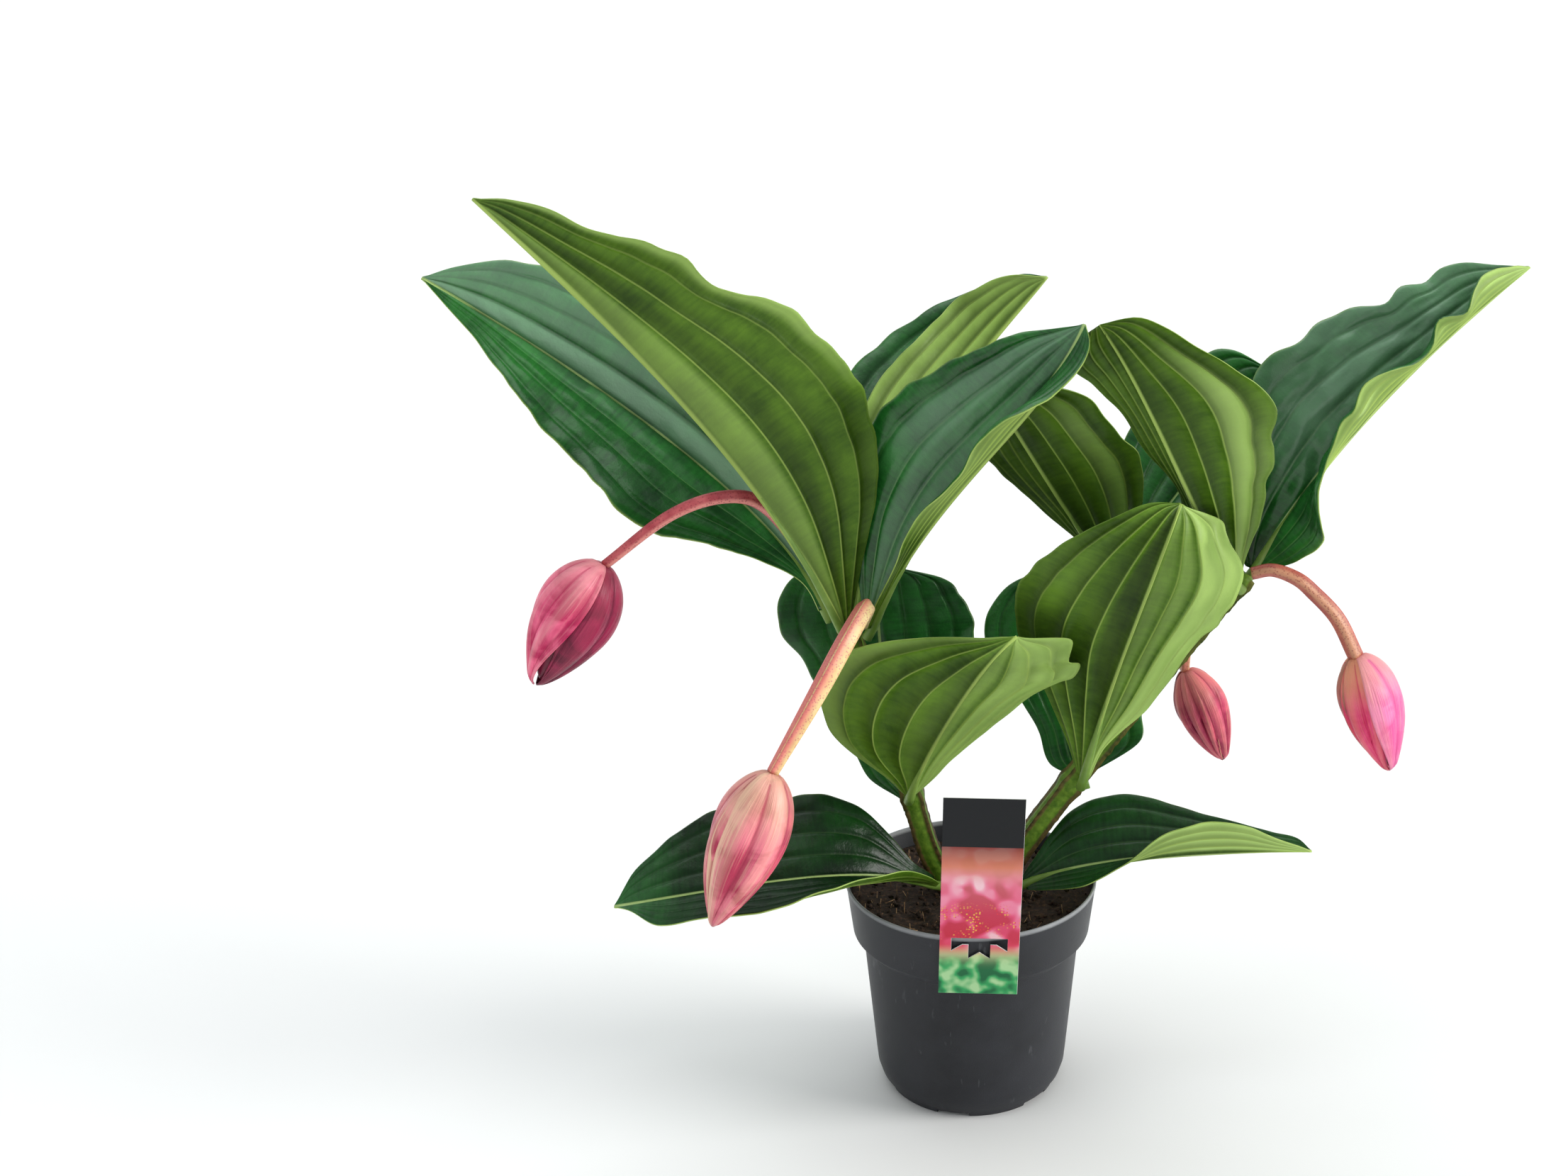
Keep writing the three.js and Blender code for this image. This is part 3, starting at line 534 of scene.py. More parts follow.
def leaf_side(name, grounds, veins, painted_lit_colour, shares, widths, darkest_band_shade, relief, roughness, coat):
    """One side of a living leaf, from its maps: mottled ground, midrib and side veins.

    `shares` says how strongly the side veins, their tips and the midrib show, `widths` how wide the side
    veins and the midrib are in millimetres, `darkest_band_shade` how dark the painted shade gets on the outer
    flank of a vein, and `relief` is the depth of the fine bumps in metres.
    """
    material, shader = new_material(name)
    size = add(material, "UVMap", uv_map="size")
    painted_light_and_shade = add(material, "Attribute", attribute_name="painted_light_and_shade").outputs["Fac"]
    place = add(material, "TexCoord").outputs["Object"]
    run, across, _ = add(material, "SeparateXYZ", [add(material, "UVMap", uv_map="share")]).outputs
    _, across_size, _ = add(material, "SeparateXYZ", [size]).outputs

    # Distance to the midrib and to the nearest side vein, in millimetres.
    q = add(material, "Math", [across], operation="ABSOLUTE")
    from_midrib = add(material, "Math", [across_size], operation="ABSOLUTE")
    safe_q = add(material, "Math", [q, 0.001], operation="MAXIMUM")
    reach = add(material, "Math", [from_midrib, safe_q], operation="DIVIDE")
    steps = add(material, "Math", [q, VEIN_SPACING], operation="MULTIPLY")
    from_vein = add(material, "Math", [steps, 0.5], operation="PINGPONG")
    gap_share = add(material, "Math", [from_vein, VEIN_SPACING], operation="DIVIDE")
    gap = add(material, "Math", [gap_share, reach], operation="MULTIPLY")
    on_midrib = add(material, "MapRange",
                    [from_midrib, widths[1] * 0.4, widths[1] * 1.2, shares[2], 0], **SMOOTH)
    # Side veins fade towards the tip and the margin, and where the blade is narrow.
    on_vein = add(material, "MapRange", [gap, widths[0] * 0.3, widths[0] * 1.3, 1, 0], **SMOOTH)
    for fading in ([run, 0.1, 0.75, *shares[:2]], [q, 0.6, 0.75, 1, 0.5], [reach, 5, 32, 0.2, 1]):
        on_vein = add(material, "Math", [on_vein, add(material, "MapRange", fading)],
                      operation="MULTIPLY")
    # Painted shade across each band between veins: darkest on the outer flank of a vein and paling towards
    # the next one, as a bulging band would be shaded.
    across_band = add(material, "Math", [steps], operation="FRACT")
    painted_band_shade = add(material, "MapRange", [across_band, 0, 0.75, darkest_band_shade, 1], **SMOOTH)

    # Streaks stand for the fine cross veins, about 2 mm apart, that join the side veins.
    streak_place = add(material, "VectorMath", [size, (0.42, 0.05, 1)], operation="MULTIPLY")
    streaks = add(material, "TexNoise", {"Vector": streak_place, "Scale": 1, "Detail": 4,
                                         "Roughness": 0.5, "Distortion": 0.2}, noise_dimensions="2D")
    clouds = add(material, "TexNoise",
                 {"Vector": place, "Scale": per(38.46), "Detail": 6, "Roughness": 0.65})
    mottle = add(material, "Math", [clouds, 0.78], operation="MULTIPLY")
    mottled = add(material, "Math", [streaks, 0.22, mottle], operation="MULTIPLY_ADD")
    ground = add(material, "ValToRGB", [mottled], {0.38: grounds[0], 0.62: grounds[1]})

    # Painted light and shade: above 0 the ground is mixed towards a painted lit colour (a sheen on the upper
    # side, light through the blade on the under side), and below 0 it is darkened as painted shade, veins and
    # all.
    painted_light_share = add(material, "Math", [painted_light_and_shade, 0], operation="MAXIMUM")
    painted_lit_ground = add(material, "Mix", [painted_light_share, ground, painted_lit_colour], **PAINT)
    shade = add(material, "MapRange", [painted_light_and_shade, -1, 0, 0.2, 1])
    depth = add(material, "Math", [shade, painted_band_shade], operation="MULTIPLY")
    paint = add(material, "VectorMath", [painted_lit_ground, depth], operation="SCALE")
    vein_paint = add(material, "VectorMath", [colour(veins[0])[:3], shade], operation="SCALE")
    on_margin = add(material, "MapRange", [q, 0.982, 1, 0, 0.45])
    for layer, over in ((on_vein, vein_paint), (on_midrib, veins[1]), (on_margin, MARGIN_GREEN)):
        paint = add(material, "Mix", [layer, paint, over], **PAINT)
    bump = add(material, "Bump", {"Height": clouds, "Distance": relief})
    plug(shader, {"Base Color": paint, "Normal": bump, "Roughness": roughness,
                  "Specular IOR Level": 0.2})
    if coat:
        # The coat is thinned where shade is painted, so those parts keep their dark green.
        wax = add(material, "Math", [shade, coat], operation="MULTIPLY")
        plug(shader, {"Coat Weight": wax, "Coat Roughness": 0.3})
    return material


def plain_living(name, base, patch, patch_width, roughness):
    """Even tissue with soft patches, for margins, leaf feet and dry fibre."""
    material, shader = new_material(name)
    place = add(material, "TexCoord").outputs["Object"]
    clouds = add(material, "TexNoise", {"Vector": place, "Scale": per(patch_width), "Detail": 4})
    patchy = add(material, "ValToRGB", [clouds], {0.35: base, 0.65: patch})
    bump = add(material, "Bump", {"Height": clouds, "Distance": 0.0003})
    plug(shader, {"Base Color": patchy, "Normal": bump, "Roughness": roughness})
    return material


# The third colour of each side is its painted light: a grey-green sheen on the upper side, and the
# yellow-green of light through the blade on the under side.
LEAF_FINISHES = [
    leaf_side("waxy leaf upper side", ("#0f4a17", "#2a7a2c"), ("#6f9e5c", "#b4cf80"), "#93bc9a",
              (0.55, 0.1, 0.9), (0.5, 1.1), darkest_band_shade=0.85, relief=0.0022, roughness=0.33, coat=0.5),
    leaf_side("leaf under side", ("#3f6210", "#5f861f"), ("#a6c25c", "#b0ca68"), "#bfe07c",
              (0.85, 0.6, 0.85), (0.6, 1.2), darkest_band_shade=0.55, relief=0.001, roughness=0.45, coat=0),
    plain_living("leaf margin", "#8fae4e", "#a9c264", 16.67, 0.5),
    plain_living("leaf stalk", "#6d9139", "#86a64b", 16.67, 0.45),
]
print("leaf finishes:", [finish.name for finish in LEAF_FINISHES])

# %% [markdown]
# Fourteen leaves stand in crossed pairs: two pairs at the top of the left stem, one
# at the top of the right one, one on the side shoot, a pair half-way up on each
# stem and two single ones low down, over the rim.
#
# No two leaves have the same age or the same share of light. `quilting` and
# `blister` say how many millimetres a leaf bulges between its veins and puckers.
# `painted_light_and_shade` paints light (above 0) or shade (below 0) on a whole leaf, and the
# `upper_painted_light` and `under_painted_light` patches paint it on parts of one side: lit bands, sheen,
# light through the blade, and shade.

# %% The fourteen leaves
LEAVES = {
    "leaf_left_tall": {
        "midrib": [(-82, -13, 335), (-133, -45, 443), (-200, -75, 538), (-279, -80, 619)],
        "face": [(0.6, 0.6, 0.5), (0.7, 0.45, 0.6)], "quilting": 1.7, "blister": 0.2, "painted_light_and_shade": -0.12,
        "under_painted_light": [(-0.26, 0.07, -0.2, 1.2, 0.4), (-0.47, -0.26, -0.2, 1.2, -0.3),
                        (-0.62, -0.47, -0.2, 1.2, -0.12), (-0.95, -0.79, 0.4, 1.2, 0.15),
                        (-1.1, -0.88, 0.3, 1.2, 0.6), (-1.1, -0.79, -0.2, 0.4, -0.25)],
        "left": {"widths": [5, 32, 73, 89, 79, 58, 33, 15, 0], "fold": [70, 62, 50],
                 "ripple": [3, 4, 0.1],
                 "lobes": [0] * 10 + [0.02, 0.03, -0.04, -0.08, 0.05, 0.05, -0.04, -0.05, 0.1, 0.06, 0]},
        "right": {"widths": [5, 26, 56, 72, 68, 52, 30, 13, 0], "fold": [85, 70, 50, 45, 45],
                  "ripple": [2, 3, 0.1]},
    },
    "leaf_left_broad": {
        "midrib": [(-95, 9, 341), (-159, 42, 412), (-258, 66, 484), (-354, 70, 546)],
        "face": [(0.3, -0.5, 0.8), (0.2, -0.5, 0.8)], "quilting": 1.4, "blister": 1.6,
        "upper_painted_light": [(0, 0.3, 0.0, 1.2, 0.7), (0.3, 1.1, -0.2, 1.2, 0.45), (-0.26, 0, 0.4, 1.2, 0.12),
                        (-0.5, -0.26, -0.2, 0.6, -0.2), (-1.1, -0.26, 0.2, 1.2, -0.25),
                        (-1.1, -0.7, -0.2, 0.5, -0.3)],
        "left": {"widths": [5, 7, 44, 78, 66, 49, 20, 8, 0], "fold": [8, 8, 5], "curl": [0, 0, -10],
                 "ripple": [2, 4, 0.4]},
        "right": {"widths": [5, 28, 56, 66, 66, 58, 43, 18, 0], "fold": [55, 60, 60],
                  "curl": [0, -10, -10], "ripple": [3, 4, 0]},
    },
    "leaf_centre_back": {
        "midrib": [(-76, 13, 331), (-44, 55, 418), (-2, 90, 481), (50, 100, 541)],
        "face": [(-0.7, 0.2, 0.65), (-0.7, 0.2, 0.65)], "quilting": 1.6,
        "under_painted_light": [(-1.1, 1.1, -0.2, 1.2, 0.5)],
        "left": {"widths": [5, 30, 56, 68, 71, 58, 38, 20, 0], "fold": [60, 60, 50], "curl": [0, 10, 0]},
        "right": {"widths": [5, 25, 48, 56, 55, 46, 38, 23, 0], "fold": [50, 50, 50]},
    },
    "leaf_centre_front": {
        "midrib": [(-64, -13, 337), (-20, -30, 419), (30, -50, 485), (66, -58, 543)],
        "face": [(-0.7, 0, 0.65), (-0.7, -0.1, 0.6)], "quilting": 2.2, "blister": 1.2,
        "upper_painted_light": [(-0.5, 0, -0.2, 1.2, 0.2), (-0.8, -0.4, 0.3, 1.2, 0.35)],
        "under_painted_light": [(0, 1.1, 0.2, 1.2, 0.6), (0, 1.1, -0.2, 0.4, -0.2)],
        "left": {"widths": [5, 24, 56, 69, 62, 49, 33, 13, 0], "fold": [70, 62, 60], "curl": [0, 10, 0]},
        "right": {"widths": [5, 7, 21, 29, 35, 45, 27, 12, 0], "fold": [28, 26, 24, 18, -45],
                  "ripple": [2, 3.5, 0.1]},
    },
    "leaf_right_upright": {
        "midrib": [(168, -11, 367), (143, -30, 414), (111, -52, 481), (76, -50, 541)],
        "face": [(0.3, 0.8, 0.5), (0.3, 0.8, 0.3)],
        "under_painted_light": [(0, 1.1, -0.2, 1.2, -0.4), (-0.26, 0, -0.2, 1.2, -0.3),
                        (-0.5, -0.26, -0.2, 1.2, -0.15), (-0.82, -0.5, -0.1, 0.9, 0.7),
                        (-1.1, -0.78, -0.1, 0.7, 0.3)],
        "left": {"widths": [5, 13, 30, 48, 64, 70, 46, 27, 0], "fold": [25, 15, 5, -3, -14],
                 "curl": [0, 10, 0],
                 "lobes": [0] * 8 + [-0.03, 0.02, 0, -0.03, 0.02, 0.03, 0, -0.03, 0, 0.05, 0.1, 0.1, 0]},
        "right": {"widths": [5, 14, 22, 19, 24, 26, 25, 26, 12], "fold": [50, 42, 35, 15, -45]},
    },
    "leaf_right_long": {
        "midrib": [(182, 10, 368), (223, -5, 444), (276, -10, 510), (339, 0, 566)],
        "face": [(-0.5, -0.5, 0.7), (-0.5, -0.4, 0.7)], "quilting": 2.0, "blister": 3.2,
        "upper_painted_light": [(-1.1, 0, 0.2, 1.2, 0.4), (-0.6, -0.26, 0.2, 0.8, 0.25),
                        (-1.1, 0, -0.4, 0.26, -0.8)],
        "under_painted_light": [(0, 1.1, -0.2, 1.2, 0.8)],
        "left": {"widths": [5, 40, 60, 70, 61, 42, 30, 12, 0], "fold": [60, 55, 50, 45, 40],
                 "ripple": [0, 0, 0],
                 "lobes": [0] * 6 + [0.02, -0.02, 0, 0.03, -0.02, 0.02, 0.04, 0.06, -0.04, 0.12, -0.02,
                           0.14, 0.16, 0.05, 0],
                 "waves": [0, 0, 0, -1, 1, 2, -1, -3, 0, 3, 4, -1, -5, -2, 5, 3, -4, 0, 2, 0, 0]},
        "right": {"widths": [5, 24, 44, 44, 50, 36, 36, 18, 0], "fold": [-30, -5, 44, 52, 54, 54, 56],
                  "ripple": [0, 0, 0], "waves": [0] * 9 + [2, 3, 7, 4, -4, -3, 6, -4, 6, 8, 4, 0]},
    },
    "leaf_shoot_front": {
        "midrib": [(91, 27, 361), (58, 15, 413), (28, 5, 463), (7, 5, 495)],
        "face": [(0.4, 0.8, 0.4), (0.4, 0.8, 0.4)],
        "under_painted_light": [(0, 1.1, -0.2, 1.2, -0.45), (-0.26, 0, -0.2, 1.2, -0.4),
                        (-0.5, -0.26, -0.2, 1.2, -0.1), (-0.8, -0.5, -0.2, 0.8, 0.3)],
        "left": {"widths": [5, 26, 52, 65, 66, 58, 30, 12, 0], "fold": [10, 0, 0], "curl": [10, 10, 0]},
        "right": {"widths": [5, 14, 28, 50, 56, 48, 30, 12, 0], "fold": [30, 25, 20, 25, 30]},
    },
    "leaf_shoot_back": {
        "midrib": [(107, 44, 362), (136, 75, 395), (172, 95, 434), (207, 100, 474)],
        "face": [(-0.3, -0.7, 0.6), (-0.3, -0.7, 0.6)], "quilting": 1.5, "painted_light_and_shade": -0.1,
        "left": {"widths": [5, 20, 38, 50, 56, 56, 48, 34, 0], "fold": [25, 20, 20]},
        "right": {"widths": [5, 22, 44, 60, 66, 58, 36, 16, 0], "fold": [25, 20, 20]},
    },
    "leaf_mid_right_front": {
        "midrib": [(74, -13, 231), (91, -38, 312), (109, -60, 381), (127, -48, 430)],
        "face": [(0, 0.8, 0.5), (0, 0.7, 0.2)],
        "under_painted_light": [(0.0, 0.26, 0.1, 1.2, -0.7), (0.26, 0.53, -0.2, 1.2, -0.25),
                        (-0.26, 0.0, -0.2, 1.2, 0.2), (0.5, 1.1, -0.2, 1.2, 0.05),
                        (-0.5, -0.26, -0.2, 1.2, 0.3), (-1.1, -0.5, -0.2, 1.2, 0.85)],
        "left": {"widths": [4, 9, 29, 41, 53, 59, 38, 20, 0], "fold": [0, 5, 5], "curl": [0, 10, 20],
                 "sweep": [0] * 6 + [0.05, 0.15, 0.45, 0.6, 0.6],
                 "lobes": [0] * 11 + [0.02, -0.02, 0, 0.03, 0.02, -0.04, -0.03, 0.05, 0.04, 0]},
        "right": {"widths": [4, 22, 52, 76, 74, 60, 38, 18, 0], "fold": [30, 10, -10],
                  "curl": [10, 20, 30]},
    },
    "leaf_mid_left_front": {
        "midrib": [(-40, -14, 219), (-25, -36, 263), (1, -54, 314), (28, -56, 347)],
        "face": [(-0.1, 0.8, 0.45), (-0.1, 0.8, 0.2)],
        "under_painted_light": [(0, 0.3, -0.2, 1.2, 0.1), (0.3, 0.53, -0.2, 1.2, -0.15),
                        (0.79, 1.1, -0.2, 1.2, 0.3), (-0.26, 0, -0.2, 1.2, 0.35),
                        (-1.1, -0.26, -0.2, 1.2, 0.6)],
        "left": {"widths": [4, 12, 21, 36, 49, 60, 35, 9, 0], "fold": [10, 10, 0], "curl": [10, 10, -10],
                 "ripple": [0, 0, 0], "sweep": [0, 0, 0.2, 0.4, 0.56, 0.6, 0.6, 0.5, 0.8, 1.3, 1.4],
                 "lobes": [0] * 14 + [0.04, 0.08, -0.08, 0.02, 0.05, 0, 0],
                 "waves": [0] * 15 + [4, -4, 2, 0, 0, 0]},
        "right": {"widths": [4, 20, 64, 82, 79, 49, 17, 4, 0], "fold": [6, 6, 6, 4, 0],
                  "curl": [10, 20, 30], "ripple": [1, 3, 0]},
    },
    "leaf_mid_left_back": {
        "midrib": [(-44, 14, 203), (-55, 32, 258), (-62, 50, 307), (-62, 62, 354)],
        "face": [(0, -0.8, 0.5), (0, -0.6, 0.7)], "quilting": 1.0, "painted_light_and_shade": -0.3,
        "left": {"widths": [4, 22, 30, 40, 50, 65, 66, 46, 0], "fold": [10, 5, 0],
                 "curl": [-10, -10, -10]},
        "right": {"widths": [4, 20, 38, 53, 62, 64, 56, 42, 0], "fold": [10, 5, 0],
                  "curl": [-10, -10, -10]},
    },
    "leaf_mid_right_back": {
        "midrib": [(75, 14, 219), (65, 36, 259), (59, 60, 301), (65, 70, 337)],
        "face": [(0, -0.8, 0.5), (0, -0.6, 0.7)], "quilting": 1.0, "painted_light_and_shade": -0.3,
        "left": {"widths": [4, 20, 22, 30, 42, 50, 42, 24, 0], "fold": [10, 5, 0],
                 "curl": [-10, -10, -10]},
        "right": {"widths": [4, 42, 49, 56, 62, 62, 56, 42, 0], "fold": [10, 5, 0],
                  "curl": [-10, -10, -10]},
    },
    "leaf_low_left": {
        "midrib": [(-25, -9, 150), (-83, -50, 178), (-153, -66, 178), (-231, -62, 162)],
        "face": [(0, -0.55, 0.85), (0, -0.6, 0.8)], "quilting": 1.1,
        "upper_painted_light": [(-1.1, 1.1, -0.5, 1.0, -0.95)],
        "left": {"widths": [4, 14, 30, 40, 40, 34, 26, 6, 0], "fold": [35, 30, 32, 30, 15],
                 "curl": [70, 65, 20, 0, 0], "ripple": [1, 3, 0]},
        "right": {"widths": [5, 13, 48, 58, 58, 56, 43, 23, 0], "fold": [35, 8, 5],
                  "curl": [-10, -10, -10]},
    },
    "leaf_low_right": {
        "midrib": [(36, -10, 151), (90, -18, 171), (162, -25, 182), (225, -25, 183)],
        "face": [(0, -0.55, 0.85), (0, -0.3, 0.9)], "quilting": 1.1,
        "upper_painted_light": [(-1.1, 1.1, -0.5, 1.2, -0.7)],
        "under_painted_light": [(0.05, 1.1, -0.2, 1.2, 0.8)],
        "left": {"widths": [4, 15, 40, 48, 38, 24, 14, 9, 0], "fold": [30, 10, 20], "ripple": [1, 3, 0]},
        "right": {"widths": [5, 11, 18, 26, 44, 38, 15, 5, 0], "fold": [-15, 12, 68, 80, 80],
                  "ripple": [1, 3, 0]},
    },
}

for leaf_name, leaf in LEAVES.items():
    build_leaf(leaf_name, leaf, LEAF_FINISHES)

# %% [markdown]
# ## Stems
#
# The stems are four-angled. Each angle carries a thin corky wing that browns with
# age. The finish goes by the turn round the stem, so cork lies on the wings, with a
# ragged edge, and by the height, so the foot of a stem is the brownest.

# %% Stem finish
def stem_skin():
    """Green bark over the body, corky brown on the wings and low on the stem."""
    material, shader = new_material("winged green stem with cork")
    place = add(material, "TexCoord").outputs["Object"]
    _, turn, _ = add(material, "SeparateXYZ", [add(material, "UVMap", uv_map="share")]).outputs
    _, _, height = add(material, "SeparateXYZ", [place]).outputs
    turns = add(material, "Math", [turn, 4, 0.5], operation="MULTIPLY_ADD")
    from_wing = add(material, "Math", [turns, 0.5], operation="PINGPONG")
    fibre = add(material, "TexNoise", {"Vector": place, "Scale": per(3.846), "Detail": 6})
    ragged = add(material, "Math", [fibre, -0.16, from_wing], operation="MULTIPLY_ADD")
    cork = add(material, "MapRange", [ragged, 0, 0.09, 1, 0])
    age = add(material, "MapRange", [height, 0.13, 0.3, 1, 0.6])
    on_cork = add(material, "Math", [cork, age], operation="MULTIPLY")
    green = add(material, "ValToRGB", [fibre], {0.3: "#4a7016", 0.7: "#74962c"})
    brown = add(material, "ValToRGB", [fibre], {0.3: "#2f1b10", 0.7: "#6e4c30"})
    bark = add(material, "Mix", [on_cork, green, brown], **PAINT)
    bump = add(material, "Bump", {"Height": fibre, "Distance": 0.0006})
    plug(shader, {"Base Color": bark, "Normal": bump, "Roughness": 0.55, "Specular IOR Level": 0.25})
    return material


STEM_SKIN = stem_skin()
print("stem finish:", STEM_SKIN.name)

# %% [markdown]
# A stem swells into a knuckle where leaves stand. A ring of vertices is extruded
# along the stem's curve, and its outline makes body, wings and knuckles. The right
# stem's side shoot is a second limb of the same mesh.

# %% The two stems and the side shoot
STEM_STEPS, STEM_SIDES = 110, 48
KNUCKLE_SWELL, KNUCKLE_LENGTH = 1.6, 5
WING_THICKNESS = 0.075  # of a quarter turn
RAGGED_SHARE, RAGGED_CELL = 0.35, 4


def winged_radius(foot, top, wing, knuckles, height):
    """The stem's outline in millimetres: a body, four wings, and knuckles up the stem."""
    def radius(t, angle):
        quarter = angle / (math.pi / 2) + 0.5
        from_wing = abs(quarter - round(quarter))
        body = foot + (top - foot) * t
        body += KNUCKLE_SWELL * sum(math.exp(-((t - k) * height / KNUCKLE_LENGTH) ** 2) for k in knuckles)
        ragged = noise.noise(Vector((t * height / RAGGED_CELL, round(quarter) * 3.1, 0)))
        edge = wing * (1 + RAGGED_SHARE * ragged)
        return body + edge * math.exp(-((from_wing / WING_THICKNESS) ** 2))
    return radius


STEMS = {
    "stem_left": [
        ([(-7, 8, 122), (-17, 5, 146), (-29, 2, 172), (-43, 0, 224), (-62, 0, 279), (-81, 0, 336)],
         (7.2, 5.6, 3), (0.13, 0.42, 0.98)),
    ],
    "stem_right": [
        ([(10, 8, 122), (21, 5, 146), (36, 2, 175), (75, 0, 233), (125, 0, 302), (176, 0, 368)],
         (7.2, 5.6, 3), (0.12, 0.38, 0.98)),
        ([(80, 1, 240), (90, 12, 268), (97, 26, 312), (102, 34, 358)], (4.6, 4, 1.6), (0.97,)),
    ],
}

for stem_name, limbs in STEMS.items():
    bm = bmesh.new()
    bm.loops.layers.uv.new("share")
    for path, (foot, top, wing), knuckles in limbs:
        points = curve_through(path, STEM_STEPS)
        height = sum((b - a).length for a, b in zip(points, points[1:])) / MM
        sweep(bm, points, (0, -1, 0), STEM_SIDES, winged_radius(foot, top, wing, knuckles, height))
    finish_piece(stem_name + "_bark", bm, [STEM_SKIN], stem_name)

# %% [markdown]
# ## Flower stalks and buds
#
# Each inflorescence starts as a closed, nodding bud: large fleshy bracts wrap one
# another, an outer pair over an inner one, and hide the flowers. The stalk is
# four-sided with soft edges, salmon to cream, with fine pink specks. Both finishes
# are smooth living tissue with a satin gleam.

# %% Stalk and bract finishes
def stalk_skin(name, base, light, ridge, speck, count=2, offset=0.1):
    """Smooth tissue with pink specks, and `count` stripes of another shade along it.

    `offset` is how far round the stalk the stripes are turned.
    """
    material, shader = new_material(name)
    place = add(material, "TexCoord").outputs["Object"]
    run, turn, _ = add(material, "SeparateXYZ", [add(material, "UVMap", uv_map="share")]).outputs
    clouds = add(material, "TexNoise", {"Vector": place, "Scale": per(11.11), "Detail": 5})
    paint = add(material, "ValToRGB", [clouds], {0.35: base, 0.65: light})
    turns = add(material, "Math", [turn, count, offset], operation="MULTIPLY_ADD")
    from_ridge = add(material, "Math", [turns, 0.5], operation="PINGPONG")
    # A stripe is wider towards the bud.
    widened = add(material, "Math", [run, -0.09, from_ridge], operation="MULTIPLY_ADD")
    on_ridge = add(material, "MapRange", [widened, 0.08, 0.22, 0.8, 0])
    specks = add(material, "TexVoronoi", {"Vector": place, "Scale": per(1.613)})
    on_speck = add(material, "MapRange", [specks, 0.15, 0.42, 0.75, 0])
    for layer, over in ((on_ridge, ridge), (on_speck, speck)):
        paint = add(material, "Mix", [layer, paint, over], **PAINT)
    bump = add(material, "Bump", {"Height": clouds, "Distance": 0.0004})
    plug(shader, {"Base Color": paint, "Normal": bump, "Roughness": 0.45})
    return material


def bract_skin(name, base, deep, cream, cream_side, crown, heart=0):
    """Fleshy bract: fine nerves, a cream flush from one side and from its base.

    `cream_side` is how far the cream comes in from the left (above 0) or from the
    right (below 0), `crown` how creamy the base is, and `heart` how deep the colour
    gets in the middle of the lower half.
    """
    material, shader = new_material(name)
    place = add(material, "TexCoord").outputs["Object"]
    share = add(material, "UVMap", uv_map="share")
    run, across, _ = add(material, "SeparateXYZ", [share]).outputs
    clouds = add(material, "TexNoise",
                 {"Vector": place, "Scale": per(22.22), "Detail": 4, "Distortion": 0.6})
    paint = add(material, "ValToRGB", [clouds], {0.4: deep, 0.58: base})
    nerve_place = add(material, "VectorMath", [share, (1.6, 11, 1)], operation="MULTIPLY")
    nerves = add(material, "TexNoise", {"Vector": nerve_place, "Scale": 1.6, "Detail": 5},
                 noise_dimensions="2D")
    lean = add(material, "Math", [across, cream_side, nerves], operation="MULTIPLY_ADD")
    flush = add(material, "MapRange", [lean, 0.75, 1.3, 0, 0.85], **SMOOTH)
    crowned = add(material, "MapRange", [run, 0.05, 0.45, crown, 0], **SMOOTH)
    creamy = add(material, "Math", [flush, crowned], operation="MAXIMUM")
    heart_place = add(material, "VectorMath", [share, (1, 0.45, 1)], operation="MULTIPLY")
    from_heart = add(material, "VectorMath", [heart_place, (0.6, 0, 0)], operation="DISTANCE")
    in_heart = add(material, "MapRange", [from_heart, 0.1, 0.27, heart, 0], **SMOOTH)
    on_nerve = add(material, "MapRange", [nerves, 0.52, 0.75, 0, 0.3])
    # Painted shade deepens the folds, and a painted highlight pales their crests.
    crease = add(material, "Attribute", attribute_name="crease").outputs["Fac"]
    painted_crest_highlight = add(material, "MapRange", [crease, 0.75, 1, 0, 0.22], **SMOOTH)
    painted_fold_shade = add(material, "MapRange", [crease, 0, 0.4, 0.75, 0], **SMOOTH)
    for layer, over in ((creamy, cream), (in_heart, deep), (on_nerve, cream), (painted_crest_highlight, cream),
                        (painted_fold_shade, deep)):
        paint = add(material, "Mix", [layer, paint, over], **PAINT)
    bump = add(material, "Bump", {"Height": nerves, "Distance": 0.0006})
    plug(shader, {"Base Color": paint, "Normal": bump, "Roughness": 0.33, "Specular IOR Level": 0.25})
    return material


BRACT_DEPTH = bract_skin("inside of a bract", "#8f1f45", "#6d1434", "#a83a5a", 0.2, 0)
print("bract finish:", BRACT_DEPTH.name)

# %% [markdown]
# A bract is a thick leaf that clasps the bud like a petal. It is a grid wrapped
# round the bud's axis, folded lengthwise and thickened, so that its edge casts a
# line on the bract below. A core inside closes the bud.

# %% The shape of a bud
BRACT_ROWS, BRACT_COLUMNS = 44, 30
BRACT_THICKNESS = 0.9
FOLD_DEPTH = 3.4
CORE_SHARE = 0.9
BRACT_INSET = 1.4


def bud_fullness(t):
    """The bud's outline from its base (0) to its tip (1), as a share of its radius."""
    return max(0.0, math.sin(math.pi * max(1e-4, t) ** 0.72)) ** 0.8


